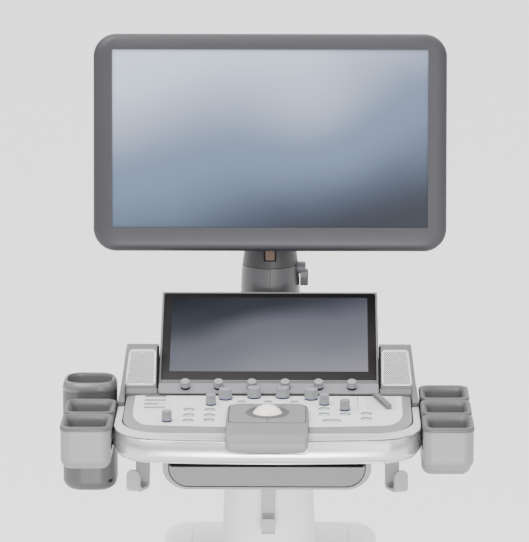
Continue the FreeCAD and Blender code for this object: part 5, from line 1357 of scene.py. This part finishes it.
fill = stacked("console_rail_behind_palm", [fill_ring(level) for level in FILL_LEVELS], Matrix())
finish_mesh(fill, FINISH["silver_plastic"], "console")
print("rail drawn in at", len(draw_in), "points")

# %% [markdown]
# ## Base trim
# A soft grey bumper runs round the foot of the base cover, and fine seams show where the tower's panels
# meet. Each is an outline of the cover itself, drawn a fraction of a millimetre outside it.

# %% Base trim
low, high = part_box("base_cover")
base_w = (high.x - low.x) / MM
base_l = (high.y - low.y) / MM
foot_z = low.z / MM
BASE_CORNER = 120.0
BUMPER_T = 0.9
BUMPER_TALL = 22.0
BUMPER_GREY = plastic("bumper_grey", (0.16, 0.16, 0.165), 0.55)
BUMPER_PROFILE = [(0, 2), (2 * BUMPER_T, 4), (2 * BUMPER_T, 2 + BUMPER_TALL), (0, 4 + BUMPER_TALL)]
bumper = stacked(
    "base_bumper",
    [(base_w + grow, base_l + grow, BASE_CORNER + grow / 2, foot_z + level)
     for grow, level in BUMPER_PROFILE],
    Matrix(), turn=16, foot=False, head=False,
)
finish_mesh(bumper, BUMPER_GREY, OWNER["base_cover"])
low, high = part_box("electronics_case")
tower_mid = ((low.x + high.x) / 2 / MM, (low.y + high.y) / 2 / MM)
SEAM_TALL = 1.0
SEAM_T = 0.15
TOWER_CORNER = 44.0
SEAM_RISES = (22.0, 190.0)
SEAM_PROFILE = [(0, 0), (SEAM_T, 0.1), (SEAM_T, SEAM_TALL - 0.1), (0, SEAM_TALL)]
for i, rise in enumerate(SEAM_RISES):
    seam = stacked(
        "tower_seam_%d" % i,
        [((high.x - low.x) / MM + grow, (high.y - low.y) / MM + grow, TOWER_CORNER + grow / 2,
          low.z / MM + rise + level, tower_mid) for grow, level in SEAM_PROFILE],
        Matrix(), turn=10, foot=False, head=False,
    )
    finish_mesh(seam, LINE_INK, OWNER["electronics_case"])
print("bumper", round(base_w), "by", round(base_l), "mm")

# %% [markdown]
# ## The shadow over the drawer
# The shade in the recess between the rail and the drawer's front is painted: a slim near-black strip with
# rounded ends, set just in front of the drawer's upper edge.

# %% Drawer recess
low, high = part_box("drawer_tray")
RECESS_TALL = 2.4
recess_w = (high.x - low.x) / MM - 6
recess = stacked(
    "drawer_recess_painted_shade",
    [(recess_w, RECESS_TALL, 0.8, -6.0), (recess_w, RECESS_TALL, 0.8, 0.4)],
    Matrix.Translation((0, low.y, high.z - 0.3 * MM)) @ UPRIGHT, turn=3,
)
finish_mesh(recess, PAINTED_GAP_SHADE, "console")
print("drawer recess", round(recess_w), "mm wide at", round(high.z / MM), "mm")

# %% [markdown]
# ## Floor and light
# A studio sweep: a pale floor without a horizon, one broad soft light overhead and weak fill.

# %% Floor, sky and lights
FLOOR_HALF = 60.0
SKY_STRENGTH = 3.4
bm = bmesh.new()
bmesh.ops.create_grid(bm, x_segments=1, y_segments=1, size=FLOOR_HALF)
floor = to_object(bm, "studio_floor")
STUDIO_PAPER = plastic("studio_paper", (0.825, 0.807, 0.807), 0.9, depth=0.0, unevenness=0.0, dust=0.0)
floor.data.materials.append(STUDIO_PAPER)

world = bpy.data.worlds.new("studio")
world.use_nodes = True
sky = world.node_tree
facing = add(sky, "ShaderNodeTexCoord")
parts = add(sky, "ShaderNodeSeparateXYZ")
sky.links.new(facing.outputs["Generated"], parts.inputs[0])
height = add(sky, "ShaderNodeValToRGB")
SKY_STOPS = [(0.0, 0.16), (0.12, 0.20), (0.45, 0.62), (1.0, 1.0)]
for spot, _ in SKY_STOPS[1:-1]:
    height.color_ramp.elements.new(spot)
for element, (spot, tone) in zip(height.color_ramp.elements, SKY_STOPS):
    element.position = spot
    element.color = (tone, tone * 0.99, tone * 0.995, 1)
sky.links.new(parts.outputs["Z"], height.inputs["Fac"])
sky.links.new(height.outputs["Color"], sky.nodes["Background"].inputs["Color"])
sky.nodes["Background"].inputs["Strength"].default_value = SKY_STRENGTH
bpy.context.scene.world = world


def area_light(name, place, target, width, height, power):
    """Soft box at a place, turned to a target."""
    lamp = bpy.data.lights.new(name, "AREA")
    lamp.shape = "RECTANGLE"
    lamp.size = width
    lamp.size_y = height
    lamp.energy = power
    box = bpy.data.objects.new(name, lamp)
    box.location = place
    box.rotation_euler = (Vector(target) - Vector(place)).to_track_quat("-Z", "Y").to_euler()
    bpy.context.collection.objects.link(box)
    return box


area_light("key_softbox", (-1.6, -2.2, 4.2), (0, 0, 0.9), 3.0, 2.2, 150.0)
area_light("front_fill", (1.8, -4.2, 1.6), (0, 0, 0.9), 2.4, 2.0, 40.0)
area_light("low_strip", (0.0, -2.3, 0.12), (0, -0.3, 0.76), 0.9, 0.6, 42.0)
print("floor and lights in place")
